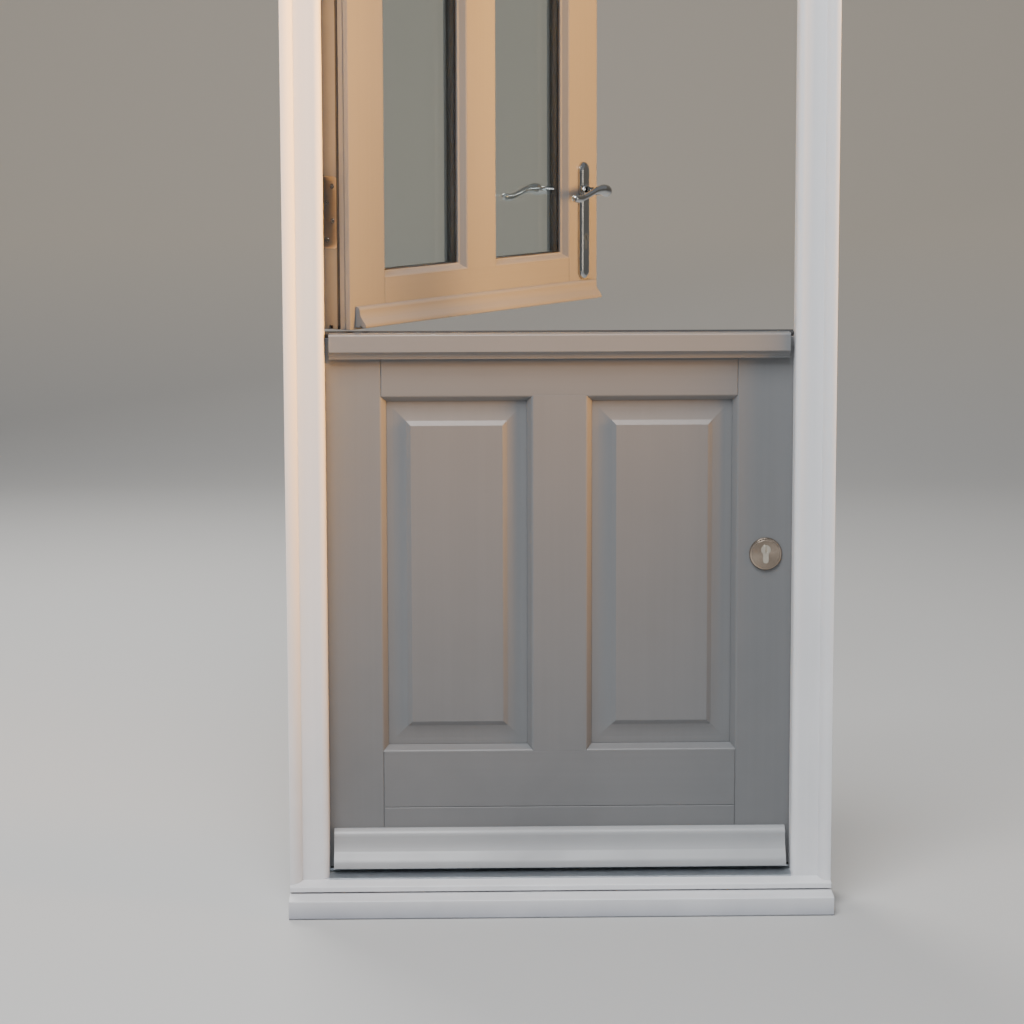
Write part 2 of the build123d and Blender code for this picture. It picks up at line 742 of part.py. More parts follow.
def ledge():
    """Square shelf along the top of the lower leaf, with a hollow-chamfered underside."""
    foot = LEDGE_TOP - LEDGE_HEIGHT
    face = LEDGE_TOP - LEDGE_FACE
    points = [
        (0, LEDGE_TOP),
        (-LEDGE_OUT + 3, LEDGE_TOP - 0.4),
        (-LEDGE_OUT + 0.9, LEDGE_TOP - 1.3, -LEDGE_OUT, LEDGE_TOP - 3.4),
        (-LEDGE_OUT, face),
        (-LEDGE_OUT * 0.72, face - 4.5),
        (-LEDGE_OUT * 0.60, face - 6.5, -LEDGE_OUT * 0.55, foot),
        (0, foot),
    ]
    return along_x(points, -BOARD_END, BOARD_END)


def barrel_profile(grow):
    """Section of a lock cylinder: a round barrel with a rounded tail below it."""
    radius = BARREL / 2 + grow
    tail = BARREL_TAIL / 2 + grow
    foot = BARREL / 2 - BARREL_HEIGHT + tail - grow
    return Circle(radius) + Pos(0, foot / 2) * Rectangle(2 * tail, -foot) + Pos(0, foot) * Circle(tail)


def barrel(z, y0, y1, grow):
    """Lock-cylinder shape through the leaf at the backset, between two depths."""
    return Pos(LOCK_X, y0, z) * extrude(Plane.XZ * barrel_profile(grow), -(y1 - y0))


def cylinder_body(z, cover):
    """Cylinder housing: bored for its plug and slotted in the middle for the cam."""
    body = barrel(z, -cover, LEAF_THICK + cover, 0)
    body -= rod_y(PLUG_RADIUS + PLUG_FIT, LOCK_X, z, -cover - 1, LEAF_THICK + cover + 1)
    foot = z - CAM_REACH - CAM_FIT
    return body - mid_block(LOCK_X - BARREL, LOCK_X + BARREL, CAM_WIDTH + CAM_FIT, foot, z + BARREL)


def cylinder_plug(z, cover):
    """Turning plug with a keyway at each end and the cam that throws the bolt."""
    plug = rod_y(PLUG_RADIUS, LOCK_X, z, -cover, LEAF_THICK + cover)
    half = CAM_THICK / 2
    cam = mid_block(LOCK_X - half, LOCK_X + half, CAM_WIDTH, z - CAM_REACH + CAM_FIT, z)
    for face in (-cover, LEAF_THICK + cover):
        plug -= Pos(LOCK_X, face, z) * Box(KEYWAY, 2 * KEY_DEPTH, KEY_HEIGHT)
    return plug + cam


def case_hollow(z_low, z_high, cylinder_z, cover):
    """The mortice that takes a lock case and its forend, with the way through for the cylinder."""
    pocket = mid_block(LEAF_EDGE - CASE_DEPTH, LEAF_EDGE + 1, CASE_THICK, z_low, z_high)
    return pocket + barrel(cylinder_z, -1, LEAF_THICK + 1, CASE_FIT)


def face_plate(x0, x1, width, z_centre, height):
    """Thin upright plate with rounded corners, on the leaf's middle plane."""
    plate = mid_block(x0, x1, width, z_centre - height / 2, z_centre + height / 2)
    return fillet(plate.edges().filter_by(Axis.X), PLATE_CORNER)


def forend(z_centre, height):
    """Face plate of a lock, let in flush with the leaf's edge."""
    return face_plate(LEAF_EDGE - FOREND_THICK, LEAF_EDGE, FOREND, z_centre, height)


def bolt_block(size, z, x0, x1, grow):
    """Square bar of a bolt, or with grow the channel it slides in."""
    thick, high = size
    return mid_block(x0, x1, thick + 2 * grow, z - high / 2 - grow, z + high / 2 + grow)


def lock_case(z_low, z_high, forend_height, cylinder_z, bolts, spindle_z):
    """Mortice lock body and forend, with channels for its bolts."""
    near, far = MID_PLANE - CASE_THICK / 2 - 1, MID_PLANE + CASE_THICK / 2 + 1
    cam_half = CAM_WIDTH / 2 + CAM_FIT
    case = mid_block(LEAF_EDGE - CASE_DEPTH, LEAF_EDGE - FOREND_THICK, CASE_THICK, z_low, z_high)
    case += forend((z_low + z_high) / 2, forend_height)
    case -= barrel(cylinder_z, near, far, CASE_FIT)
    case -= rod_y(CAM_REACH + 2 * CAM_FIT, LOCK_X, cylinder_z, MID_PLANE - cam_half, MID_PLANE + cam_half)
    for size, z, back in bolts:
        case -= bolt_block(size, z, back - BOLT_TRAVEL, LEAF_EDGE + 1, BOLT_FIT)
    if spindle_z is not None:
        case -= rod_y(NECK_RADIUS, LOCK_X, spindle_z, near, far)
    return case


def deadbolt(z, back):
    """Square bolt, drawn back at rest."""
    bar = bolt_block(DEADBOLT, z, back, LEAF_EDGE - BOLT_SHY, 0)
    return fillet(bar.edges().filter_by(Axis.Z).group_by(Axis.X)[-1], 1)


def latch_bolt(z, back):
    """Sprung latch with a bevelled nose towards the stop."""
    thick, high = LATCH
    low, tip = MID_PLANE - thick / 2, LEAF_EDGE + LATCH_OUT
    flat = thick / 4
    points = [(back, low), (back, low + thick), (LEAF_EDGE + 1, low + thick), (tip, low + flat), (tip, low)]
    return along_z(points, z - high / 2, z + high / 2)


def keep_plate(z_centre, height, holes):
    """Striking plate let into the right jamb, with a hole for each bolt."""
    plate = face_plate(REBATE, REBATE + KEEP_THICK, KEEP_WIDTH, z_centre, height)
    for size, z in holes:
        plate -= bolt_block(size, z, REBATE - 1, REBATE + KEEP_THICK + 1, KEEP_CLEAR)
    return plate


def keep_pocket(z_centre, height, holes):
    """What a striking plate and its bolts need cut in the jamb."""
    pocket = face_plate(REBATE - 1, REBATE + KEEP_THICK, KEEP_WIDTH, z_centre, height)
    for size, z in holes:
        pocket += bolt_block(size, z, REBATE, REBATE + POCKET_DEPTH, KEEP_CLEAR)
    return pocket


def backplate():
    """Long domed plate of the lever handle, outside face, with round ends."""
    sections = []
    for inset, height in PLATE_DOME:
        slot = SlotOverall(PLATE_HEIGHT - 2 * inset, PLATE_WIDTH - 2 * inset, 90)
        sections.append(Plane.XZ.offset(height * PLATE_THICK) * slot)
    plate = Pos(LOCK_X, 0, PLATE_CENTRE) * loft(sections, ruled=True)
    collar = rod_y(NECK_RADIUS + COLLAR, LOCK_X, SPINDLE_Z, -PLATE_THICK - COLLAR_PROUD, -1)
    plate += chamfer(collar.edges().group_by(Axis.Y)[0], COLLAR_PROUD / 2)
    plate -= rod_y(NECK_RADIUS + NECK_FIT, LOCK_X, SPINDLE_Z, -PLATE_THICK - COLLAR_PROUD - 1, 1)
    return plate - barrel(UPPER_CYLINDER, -PLATE_THICK - 1, 1, COVER_FIT)


def lever():
    """Waved lever: a round neck, a full shoulder over it, a slim grip and a flared tip."""
    z = SPINDLE_Z
    neck = rod_y(NECK_RADIUS, LOCK_X, z, -LEVER_STAND, -1)
    neck -= rod_y(SPINDLE / math.sqrt(2) + PLUG_FIT, LOCK_X, z, -SPINDLE_ENTRY - PLUG_FIT, 0)
    sections = []
    for share, rise, high, wide in LEVER_STATIONS:
        centre = (LOCK_X - share * LEVER_REACH, -LEVER_STAND, z + rise)
        plane = Plane(origin=centre, x_dir=(0, 1, 0), z_dir=(-1, 0, 0))
        sections.append(plane * Ellipse(wide, high))
    return neck + loft(sections, ruled=True)


def lever_spindle():
    """Square bar that joins the two levers through the lock."""
    bar = Box(SPINDLE, LEAF_THICK + 2 * SPINDLE_ENTRY, SPINDLE)
    return Pos(LOCK_X, MID_PLANE, SPINDLE_Z) * Rot(0, 45, 0) * bar


def escutcheon():
    """Round cover for the lower cylinder, with a sloping rim round a slightly raised disc."""
    points = [(0, 0)]
    for share, height in ESCUTCHEON_RIM:
        points.append((share * ESCUTCHEON_RADIUS, height * ESCUTCHEON_THICK))
    points.append((0, ESCUTCHEON_THICK))
    disc = revolve(Plane.XZ * outline(points), Axis.Z)
    disc = Pos(LOCK_X, 0, LOWER_CYLINDER - ESCUTCHEON_DROP) * Rot(90, 0, 0) * disc
    return disc - barrel(LOWER_CYLINDER, -ESCUTCHEON_THICK - 1, 1, COVER_FIT)


def tie_plate(foot, top):
    """Flat plate of the tie bolt or its keep, on the leaf's room side."""
    width, thick = TIE_PLATE
    half = width / 2
    plate = block(TIE_BOLT_X - half, TIE_BOLT_X + half, LEAF_THICK, LEAF_THICK + thick, foot, top)
    return fillet(plate.edges().filter_by(Axis.Y), TIE_CORNER)


def tie_guide(foot, top):
    """Rounded block that stands on the plate and carries the round shoot."""
    half = TIE_ROD_RADIUS + TIE_GUIDE_WALL
    axis_y = LEAF_THICK + TIE_ROD_STAND
    arm = block(TIE_BOLT_X - half, TIE_BOLT_X + half, LEAF_THICK + 1, axis_y, foot, top)
    return arm + Pos(TIE_BOLT_X, axis_y, (foot + top) / 2) * Cylinder(half, top - foot)


def tie_bore(fit, z):
    """Round way for the shoot, longer than what it is cut from."""
    way = Cylinder(TIE_ROD_RADIUS + fit, 3 * TIE_BOLT_HEIGHT)
    return Pos(TIE_BOLT_X, LEAF_THICK + TIE_ROD_STAND, z) * way


def tie_bolt_body():
    """Barrel bolt on the room side of the upper leaf: a plate and two guides."""
    foot, top = TIE_BOLT_FOOT, TIE_BOLT_FOOT + TIE_BOLT_HEIGHT
    low, high = foot + TIE_GUIDE_INSET, top - TIE_GUIDE_INSET
    body = tie_plate(foot, top) + tie_guide(low, low + TIE_GUIDE) + tie_guide(high - TIE_GUIDE, high)
    return body - tie_bore(TIE_ROD_FIT, foot)


def tie_bolt_rod():
    """Round shoot of the bolt with its finger knob, drawn up."""
    axis_y = LEAF_THICK + TIE_ROD_STAND
    low, high = UPPER_BOTTOM + 1, TIE_BOLT_FOOT + TIE_BOLT_HEIGHT + TIE_GUIDE
    rod = Pos(TIE_BOLT_X, axis_y, (low + high) / 2) * Cylinder(TIE_ROD_RADIUS, high - low)
    rod = chamfer(rod.edges().group_by(Axis.Z)[0], TIE_SOFT)
    stem_z = TIE_BOLT_FOOT + TIE_STEM_RISE
    radius, near, far = TIE_KNOB
    stem = rod_y(TIE_STEM_RADIUS, TIE_BOLT_X, stem_z, axis_y, axis_y + near + 1)
    knob = rod_y(radius, TIE_BOLT_X, stem_z, axis_y + near, axis_y + far)
    return rod + stem + chamfer(knob.edges(), TIE_SOFT)


def tie_bolt_keep():
    """Socket for the shoot, on the room side of the lower leaf."""
    top = LOWER_TOP - TIE_KEEP_DROP
    foot = top - TIE_KEEP_HEIGHT
    return tie_plate(foot, top) + tie_guide(foot, top) - tie_bore(1, foot)


def leaf_top_seals():
    """Two bubble seals on the lower leaf's top edge, and a sweep under its foot."""
    seals = []
    half = BUBBLE / 2
    high = LEDGE_TOP - SEAL_SHY
    end = LEAF_EDGE - SEAL_END
    for y in (LEAF_THICK / 4, LEAF_THICK * 3 / 4):
        section = [(y - half, LOWER_TOP), (y - half, high - half), (y, high, y + half, high - half),
                   (y + half, LOWER_TOP)]
        seals.append(along_x(section, -end, end))
    sweep = block(-end, end, MID_PLANE - half, MID_PLANE + half, SILL_TOP + SEAL_SHY, LEAF_BOTTOM)
    return seals + [sweep]


def leaf_foot_seal():
    """Seal strip in the groove under the upper leaf."""
    half = FOOT_GROOVE / 2
    low, high = UPPER_BOTTOM + 0.6, UPPER_BOTTOM + FOOT_GROOVE_DEEP
    end = LEAF_EDGE - SEAL_END
    return block(-end, end, FOOT_GROOVE_AT - half, FOOT_GROOVE_AT + half, low, high)


def foot_groove():
    """The groove that seal sits in, right through from edge to edge."""
    half = FOOT_GROOVE / 2
    low, high = UPPER_BOTTOM - 1, UPPER_BOTTOM + FOOT_GROOVE_DEEP
    return block(-LEAF_EDGE - 1, LEAF_EDGE + 1, FOOT_GROOVE_AT - half, FOOT_GROOVE_AT + half, low, high)


def frame_nodes():
    """The fixed frame: posts, head, sills, beads, seals, hinge halves and keeps."""
    upper_bolts = [(DEADBOLT, UPPER_DEADBOLT), (LATCH, LATCH_Z)]
    lower_bolts = [(DEADBOLT, LOWER_DEADBOLT)]
    upper_z = (UPPER_DEADBOLT + LATCH_Z) / 2 - UPPER_KEEP_DROP
    left = jamb_block() - fixing_holes()
    for z in LOWER_HINGES + UPPER_HINGES:
        left -= hinge_recess(-1, z)
    right = mirrored(jamb_block() - fixing_holes())
    right -= keep_pocket(upper_z, UPPER_KEEP_HEIGHT, upper_bolts)
    right -= keep_pocket(LOWER_DEADBOLT, LOWER_KEEP_HEIGHT, lower_bolts)
    bead = cover_bead_left()
    return {
        "jamb_left": left,
        "jamb_right": right,
        "head": head(),
        "sill": sill(),
        "sub_sill": sub_sill(),
        "weather_bar": weather_bar(),
        "cover_bead_left": bead,
        "cover_bead_right": mirrored(bead),
        "cover_bead_head": cover_bead_head(),
        "frame_seals": frame_seals(),
        "lower_hinge_jamb_flaps": [hinge_flap(-1, z) for z in LOWER_HINGES],
        "upper_hinge_jamb_flaps": [hinge_flap(-1, z) for z in UPPER_HINGES],
        "hinge_pins": [hinge_pin(z) for z in LOWER_HINGES + UPPER_HINGES],
        "upper_keep": keep_plate(upper_z, UPPER_KEEP_HEIGHT, upper_bolts),
        "lower_keep": keep_plate(LOWER_DEADBOLT, LOWER_KEEP_HEIGHT, lower_bolts),
    }


def lower_leaf_nodes():
    """The lower leaf, closed: panelled joinery, ledge, weatherboard and deadlock."""
    low, high = LOWER_OPEN_Z
    openings = panel_opening(OPEN_MID) + panel_opening(-OPEN_MID)
    left, right = rim(-OPEN_MID, LOWER_OPEN_Z, MOULD_WIDTH), rim(OPEN_MID, LOWER_OPEN_Z, MOULD_WIDTH)
    muntin = block(-MUNTIN / 2, MUNTIN / 2, 0, LEAF_THICK, low, high) + left["right"] + right["left"]
    hinge_side = hinge_stile(LEAF_BOTTOM, LOWER_TOP, LOWER_HINGES) + left["left"]
    lock_side = lock_stile(LEAF_BOTTOM, LOWER_TOP) + right["right"]
    grooves = Part()
    for x in (-RAIL_END, RAIL_END):
        grooves += joint_groove_z(x, LEAF_BOTTOM, low) + joint_groove_z(x, high, LOWER_TOP)
    cover = ESCUTCHEON_THICK
    z = LOWER_CYLINDER
    case_low = z - CASE_DROP
    case_high = case_low + LOWER_CASE_HEIGHT
    bolt_z, bolt_back = LOWER_DEADBOLT, LEAF_EDGE - DEADBOLT_LENGTH
    mortice = case_hollow(case_low, case_high, z, cover)
    mortice += forend((case_low + case_high) / 2, LOWER_FOREND_HEIGHT)
    plate = escutcheon()
    return {
        "lower_hinge_stile": hinge_side - openings - grooves,
        "lower_lock_stile": lock_side - openings - grooves - mortice,
        "lower_top_rail": rail(high, LOWER_TOP, (left["upper"], right["upper"])) - openings - grooves,
        "lower_mid_rail": rail(BASE_JOINT, low, (left["lower"], right["lower"])) - openings - grooves
        - joint_groove_x(BASE_JOINT),
        "lower_base_rail": rail(LEAF_BOTTOM, BASE_JOINT, ()) - grooves - joint_groove_x(BASE_JOINT),
        "lower_muntin": muntin - openings,
        "panel_left": raised_panel(-OPEN_MID),
        "panel_right": raised_panel(OPEN_MID),
        "ledge": ledge(),
        "lower_weatherboard": weatherboard(LOWER_BOARD_TOP, LOWER_BOARD_HEIGHT, LOWER_BOARD_OUT),
        "lower_leaf_seals": leaf_top_seals() + [edge_seal(LEAF_BOTTOM, LOWER_TOP)],
        "lower_hinge_leaf_flaps": [hinge_flap(1, height) for height in LOWER_HINGES],
        "lower_lock_case": lock_case(case_low, case_high, LOWER_FOREND_HEIGHT, z,
                                     [(DEADBOLT, bolt_z, bolt_back)], None),
        "lower_deadbolt": deadbolt(bolt_z, bolt_back),
        "lower_cylinder_body": cylinder_body(z, cover),
        "lower_cylinder_plug": cylinder_plug(z, cover),
        "lower_escutcheon_outside": plate,
        "lower_escutcheon_inside": room_side(plate),
        "tie_bolt_keep": tie_bolt_keep(),
    }


def upper_leaf_nodes():
    """The upper leaf, closed: glazed joinery, weatherboard, lock with levers, tie bolt."""
    low, high = UPPER_OPEN_Z
    openings = glazing_opening(OPEN_MID) + glazing_opening(-OPEN_MID) + foot_groove()
    left, right = rim(-OPEN_MID, UPPER_OPEN_Z, GLAZING_BEAD), rim(OPEN_MID, UPPER_OPEN_Z, GLAZING_BEAD)
    muntin = block(-MUNTIN / 2, MUNTIN / 2, 0, LEAF_THICK, low, high) + left["right"] + right["left"]
    hinge_side = hinge_stile(UPPER_BOTTOM, LEAF_TOP, UPPER_HINGES) + left["left"]
    lock_side = lock_stile(UPPER_BOTTOM, LEAF_TOP) + right["right"]
    grooves = Part()
    for x in (-RAIL_END, RAIL_END):
        grooves += joint_groove_z(x, UPPER_BOTTOM, low) + joint_groove_z(x, high, LEAF_TOP)
    cover = PLATE_THICK
    z = UPPER_CYLINDER
    case_low = z - CASE_DROP
    case_high = case_low + UPPER_CASE_HEIGHT
    bolts = [
        (DEADBOLT, UPPER_DEADBOLT, LEAF_EDGE - DEADBOLT_LENGTH),
        (LATCH, LATCH_Z, LEAF_EDGE - LATCH_LENGTH),
    ]
    mortice = case_hollow(case_low, case_high, z, cover)
    mortice += forend((case_low + case_high) / 2, UPPER_FOREND_HEIGHT)
    mortice += rod_y(NECK_RADIUS, LOCK_X, SPINDLE_Z, -1, LEAF_THICK + 1)
    plate, grip = backplate(), lever()
    return {
        "upper_hinge_stile": hinge_side - openings - grooves,
        "upper_lock_stile": lock_side - openings - grooves - mortice,
        "upper_top_rail": rail(high, LEAF_TOP, (left["upper"], right["upper"])) - openings - grooves,
        "upper_base_rail": rail(UPPER_BOTTOM, low, (left["lower"], right["lower"])) - openings - grooves,
        "upper_muntin": muntin - openings,
        "glazing_beads": glazing_beads(-OPEN_MID) + glazing_beads(OPEN_MID),
        "glass_left": glass_pair(-OPEN_MID),
        "glass_right": glass_pair(OPEN_MID),
        "glass_spacers": [glass_spacer(-OPEN_MID), glass_spacer(OPEN_MID)],
        "upper_weatherboard": weatherboard(LEDGE_TOP + UPPER_BOARD_RISE, UPPER_BOARD_HEIGHT, UPPER_BOARD_OUT),
        "upper_leaf_seals": [leaf_foot_seal(), edge_seal(UPPER_BOTTOM, LEAF_TOP)],
        "upper_hinge_leaf_flaps": [hinge_flap(1, height) for height in UPPER_HINGES],
        "upper_lock_case": lock_case(case_low, case_high, UPPER_FOREND_HEIGHT, z, bolts, SPINDLE_Z),
        "upper_deadbolt": deadbolt(bolts[0][1], bolts[0][2]),
        "latch_bolt": latch_bolt(bolts[1][1], bolts[1][2]),
        "upper_cylinder_body": cylinder_body(z, cover),
        "upper_cylinder_plug": cylinder_plug(z, cover),
        "backplate_outside": plate,
        "backplate_inside": room_side(plate),
        "lever_outside": grip,
        "lever_inside": room_side(grip),
        "lever_spindle": lever_spindle(),
        "tie_bolt_body": tie_bolt_body(),
        "tie_bolt_rod": tie_bolt_rod(),
    }


def write(name, shape):
    """Write one node's STEP file; a list of pieces becomes one node of separate solids."""
    pieces = shape if isinstance(shape, list) else [shape]
    solids = [solid for piece in pieces for solid in piece.solids()]
    export_step(solids[0] if len(solids) == 1 else Compound(children=solids), f"parts/{name}.step")


os.makedirs("parts", exist_ok=True)
for name, shape in frame_nodes().items():
    write(name, shape)
for name, shape in lower_leaf_nodes().items():
    write(name, shape)
for name, shape in upper_leaf_nodes().items():
    pieces = shape if isinstance(shape, list) else [shape]
    write(name, [swung(piece) for piece in pieces])
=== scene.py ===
# The looks of a timber stable door in its frame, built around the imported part
import json
import math
import random

import bmesh
import bpy
from mathutils import Matrix, Vector


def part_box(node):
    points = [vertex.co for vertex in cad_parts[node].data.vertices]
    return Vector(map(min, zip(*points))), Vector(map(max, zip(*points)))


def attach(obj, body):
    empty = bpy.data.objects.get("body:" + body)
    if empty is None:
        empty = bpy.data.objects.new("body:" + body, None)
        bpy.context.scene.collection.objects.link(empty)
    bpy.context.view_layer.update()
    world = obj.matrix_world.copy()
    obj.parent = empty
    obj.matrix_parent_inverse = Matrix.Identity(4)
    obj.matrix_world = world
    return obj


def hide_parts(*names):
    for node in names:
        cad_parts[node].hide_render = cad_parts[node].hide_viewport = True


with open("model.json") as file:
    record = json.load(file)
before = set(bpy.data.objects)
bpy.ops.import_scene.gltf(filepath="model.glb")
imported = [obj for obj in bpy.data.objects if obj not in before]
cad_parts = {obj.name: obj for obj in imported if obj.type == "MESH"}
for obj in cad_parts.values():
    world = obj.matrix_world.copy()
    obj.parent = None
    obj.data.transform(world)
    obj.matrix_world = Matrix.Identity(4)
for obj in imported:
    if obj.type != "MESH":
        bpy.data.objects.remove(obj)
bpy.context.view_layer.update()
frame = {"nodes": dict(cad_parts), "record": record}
nodes = frame["nodes"]

# Places that the source gives, in metres
OPEN_ANGLE = math.radians(56.0)
HINGE_AXIS = Vector((-0.4205, 0.064, 0.0))
LEAF_THICK = 0.057
LEAF_EDGE = 0.419
REBATE = 0.422
MID_PLANE = LEAF_THICK / 2
LOCK_X = 0.364
LOWER_CYLINDER_Z = 0.634
ESCUTCHEON_Z = 0.626
UPPER_CYLINDER_Z = 1.148
SPINDLE_Z = 1.240
PLATE_Z = 1.1815
PLATE_Y = LEAF_THICK + 0.0085
PANE_Z = (1.1075, 1.942)
PANE_MIDDLE = 0.18075
PANE_HALF = 0.13475
GLASS_FRONT = 0.018
GLASS_BACK = 0.042
LOWER_HINGES = (0.2695, 0.8055)
UPPER_HINGES = (1.228, 1.8395)
TIE_X = 0.250
TIE_FOOT = 1.027
TIE_KEEP_MIDDLE = 0.996
TIE_FACE_Y = LEAF_THICK + 0.003

# The turn that opens the upper leaf about its hinges
TO_HINGE = Matrix.Translation(HINGE_AXIS)
SWING = TO_HINGE @ Matrix.Rotation(OPEN_ANGLE, 4, "Z") @ TO_HINGE.inverted()

# Screws: the radius of their heads and where they go
FLAP_HEAD = 0.0042
LOCK_HEAD = 0.0036
TIE_HEAD = 0.0028
FLAP_SCREWS = ((0.036, 0.046), (0.048, 0.017), (0.036, -0.015), (0.048, -0.048))
FOREND_SCREW = 0.009
KEEP_SCREW = 0.010
UPPER_KEEP_SCREW = 0.043
PLATE_SCREW = 0.0995
TIE_SCREW = 0.0120
TIE_SCREW_RISES = (0.019, 0.055)

# The shape of a screw's head, and of the ring of painted shade round it
SCREW_RISE = 0.00035
SCREW_RIM = 0.00025
SCREW_SOFT = 0.3
SCREW_SHADE_RING = 0.0005
SHADE_RING_RISE = 0.00004
FOOT_RISE = 0.00006
CROSS_ARM = 0.52
CROSS_FOOT = 0.36
CROSS_WIDTH = 0.28
RING_POINTS = 32

# Levers: share of the reach, rise, half height and half width in millimetres
LEVER_STATIONS = (
    (-0.085, 1.0, 6.0, 6.0),
    (-0.06, 1.0, 9.5, 9.0),
    (0.0, 1.5, 12.0, 10.5),
    (0.08, 3.0, 11.5, 10.0),
    (0.18, 4.0, 9.0, 8.5),
    (0.32, 2.5, 7.0, 7.0),
    (0.5, -3.0, 6.2, 6.6),
    (0.68, -8.5, 6.5, 7.0),
    (0.82, -11.0, 7.4, 7.6),
    (0.94, -10.0, 7.4, 7.4),
    (1.0, -9.0, 5.0, 5.0),
)
LEVER_STAND = 0.055
LEVER_REACH = 0.124
GRIP_RINGS = 96
GRIP_SIDES = 48
GRIP_ROUND = 0.03
GRIP_TIP = 0.04
MILLIMETRES = 1000
NECK_PROFILE = ((0.001, 0.008), (0.040, 0.008), (0.044, 0.0083), (0.047, 0.0092), (0.055, 0.0096))

# Strips round the panes
STRIP_INSET = 0.013
STRIP_WIDTH = 0.0016
STRIP_HEIGHT = 0.0015

# Camera, from the lines of the frame and the panels in the photograph
LENS = 92.0
SENSOR = 36.0
SHIFT_Y = -0.10
CAMERA_AT = (-0.1683, -4.550, 1.4417)
CAMERA_PITCH = math.radians(6.98)
CAMERA_YAW = math.radians(1.07)
CAMERA_ROLL = 0.0027

# Colours, and the shares of a paint's colour left by soil and by painted shade in crevices, and by splashes
# and painted shade at the foot
FRAME_PAINT = (0.73, 0.73, 0.745)
LEAF_PAINT = (0.160, 0.163, 0.167)
SOIL_AND_SHADE_SHARE = (0.45, 0.46, 0.49)
SPLASH_AND_SHADE_SHARE = (0.42, 0.44, 0.50)
WORN_METAL = (0.23, 0.17, 0.11)
FLOOR = (0.50, 0.495, 0.485)
WALL = (0.66, 0.585, 0.49)
SKY = (0.93, 0.96, 1.0)
SKY_STRENGTH = 0.25

# Where paint is soiled or painted in shade: heights from the floor, and how far the painted shade in a
# crevice reaches
SOIL_TOP = 0.62
SPLASH_AND_SHADE_TOP = 0.034
CREVICE_SHADE_REACH = 0.005

# How close a texture runs along and across a board
BRUSH_LINES = (3.0, 900.0)
WOOD_GRAIN = (1.2, 90.0)
DRAWN_LINES = (6.0, 1500.0)
CAST_GRAIN = (260.0, 260.0)
LINE_STRETCH = 0.0006

# How far an edge looks rounded
PAINT_EDGE = 0.0012
METAL_EDGE = 0.0004
DISC_EDGE = 0.0005

# Stage: half the floor's width, the start and size of the curve up behind, and its top
FLOOR_HALF = 60.0
FLOOR_BACK = 5.0
SWEEP = 3.0
SWEEP_STEPS = 12
WALL_TOP = 9.0
WALL_TONE_FROM = 0.8
FLOOR_DROP = 0.0005

# Lights: place, target, width and height, power, colour, spread in degrees, shown in glossy surfaces
LIGHTS = {
    "key": ((-0.9, -3.1, 5.1), (0, 0, 0.9), (3.0, 3.0), 400.0, (0.955, 0.975, 1.0), 180.0, True),
    "side": ((-3.6, -2.4, 1.8), (0, 0, 1.0), (1.6, 2.4), 24.0, (0.88, 0.94, 1.0), 180.0, True),
    "warm": ((3.3, -0.80, 2.15), (-0.3, 0.25, 1.78), (1.7, 1.8), 72.0, (1.0, 0.46, 0.09), 32.0, False),
    "glint": ((3.4, -0.15, 1.3), (0.1, 0.7, 1.2), (0.45, 1.5), 11.0, (1.0, 0.88, 0.72), 180.0, True),
    "back": ((-1.6, 3.4, 3.6), (0, 0, 1.0), (2.2, 2.2), 170.0, (1.0, 0.98, 0.95), 180.0, True),
}


# Node helpers

def new_material(name):
    """An empty node material, its tree and its shader."""
    made = bpy.data.materials.new(name)
    made.use_nodes = True
    tree = made.node_tree
    tree.nodes.clear()
    out = tree.nodes.new("ShaderNodeOutputMaterial")
    shader = tree.nodes.new("ShaderNodeBsdfPrincipled")
    tree.links.new(shader.outputs["BSDF"], out.inputs["Surface"])
    return made, tree, shader


def feed(tree, socket, value):
    """Gives a socket a value, or a link from another socket."""
    if isinstance(value, bpy.types.NodeSocket):
        tree.links.new(value, socket)
    else:
        socket.default_value = value


def add(tree, kind, inputs=None, **settings):
    """A node with its settings, and its inputs as values or as sockets to link."""
    node = tree.nodes.new(kind)
    for key, value in settings.items():
        setattr(node, key, value)
    for key, value in (inputs or {}).items():
        feed(tree, node.inputs[key], value)
    return node


def place(tree, scale=(1, 1, 1), turn=0.0, shift=(0, 0, 0)):
    """The piece's own coordinates, turned about z, moved and stretched."""
    coords = add(tree, "ShaderNodeTexCoord").outputs["Object"]
    turned = add(tree, "ShaderNodeMapping", {"Vector": coords, "Rotation": (0, 0, turn), "Location": shift})
    return add(tree, "ShaderNodeMapping", {"Vector": turned.outputs[0], "Scale": scale}).outputs[0]


def along_board(tree, along, closeness, turn=0.0, shift=(0, 0, 0)):
    """Coordinates for a texture that runs along a board on the x or the z axis."""
    length, across = closeness
    scale = {"x": (length, across, across), "z": (across, across, length)}[along]
    return place(tree, scale, turn, shift)


def noise(tree, vector, scale, detail=3.0, roughness=0.5):
    """Smooth random values from 0 to 1."""
    inputs = {"Vector": vector, "Scale": scale, "Detail": detail, "Roughness": roughness}
    return add(tree, "ShaderNodeTexNoise", inputs).outputs["Fac"]


def spread(tree, value, low, high, to_low=0.0, to_high=1.0):
    """A value from one range carried over to another, and held there."""
    inputs = {"Value": value, "From Min": low, "From Max": high, "To Min": to_low, "To Max": to_high}
    return add(tree, "ShaderNodeMapRange", inputs).outputs["Result"]


def combine(tree, kind, first, second=0.0):
    """One sum on one or two values."""
    node = add(tree, "ShaderNodeMath", operation=kind)
    feed(tree, node.inputs[0], first)
    feed(tree, node.inputs[1], second)
    return node.outputs[0]


def blend(tree, amount, first, second):
    """Two colours mixed by an amount."""
    node = add(tree, "ShaderNodeMix", data_type="RGBA")
    for index, value in ((0, amount), (6, first), (7, second)):
        feed(tree, node.inputs[index], value)
    return node.outputs[2]


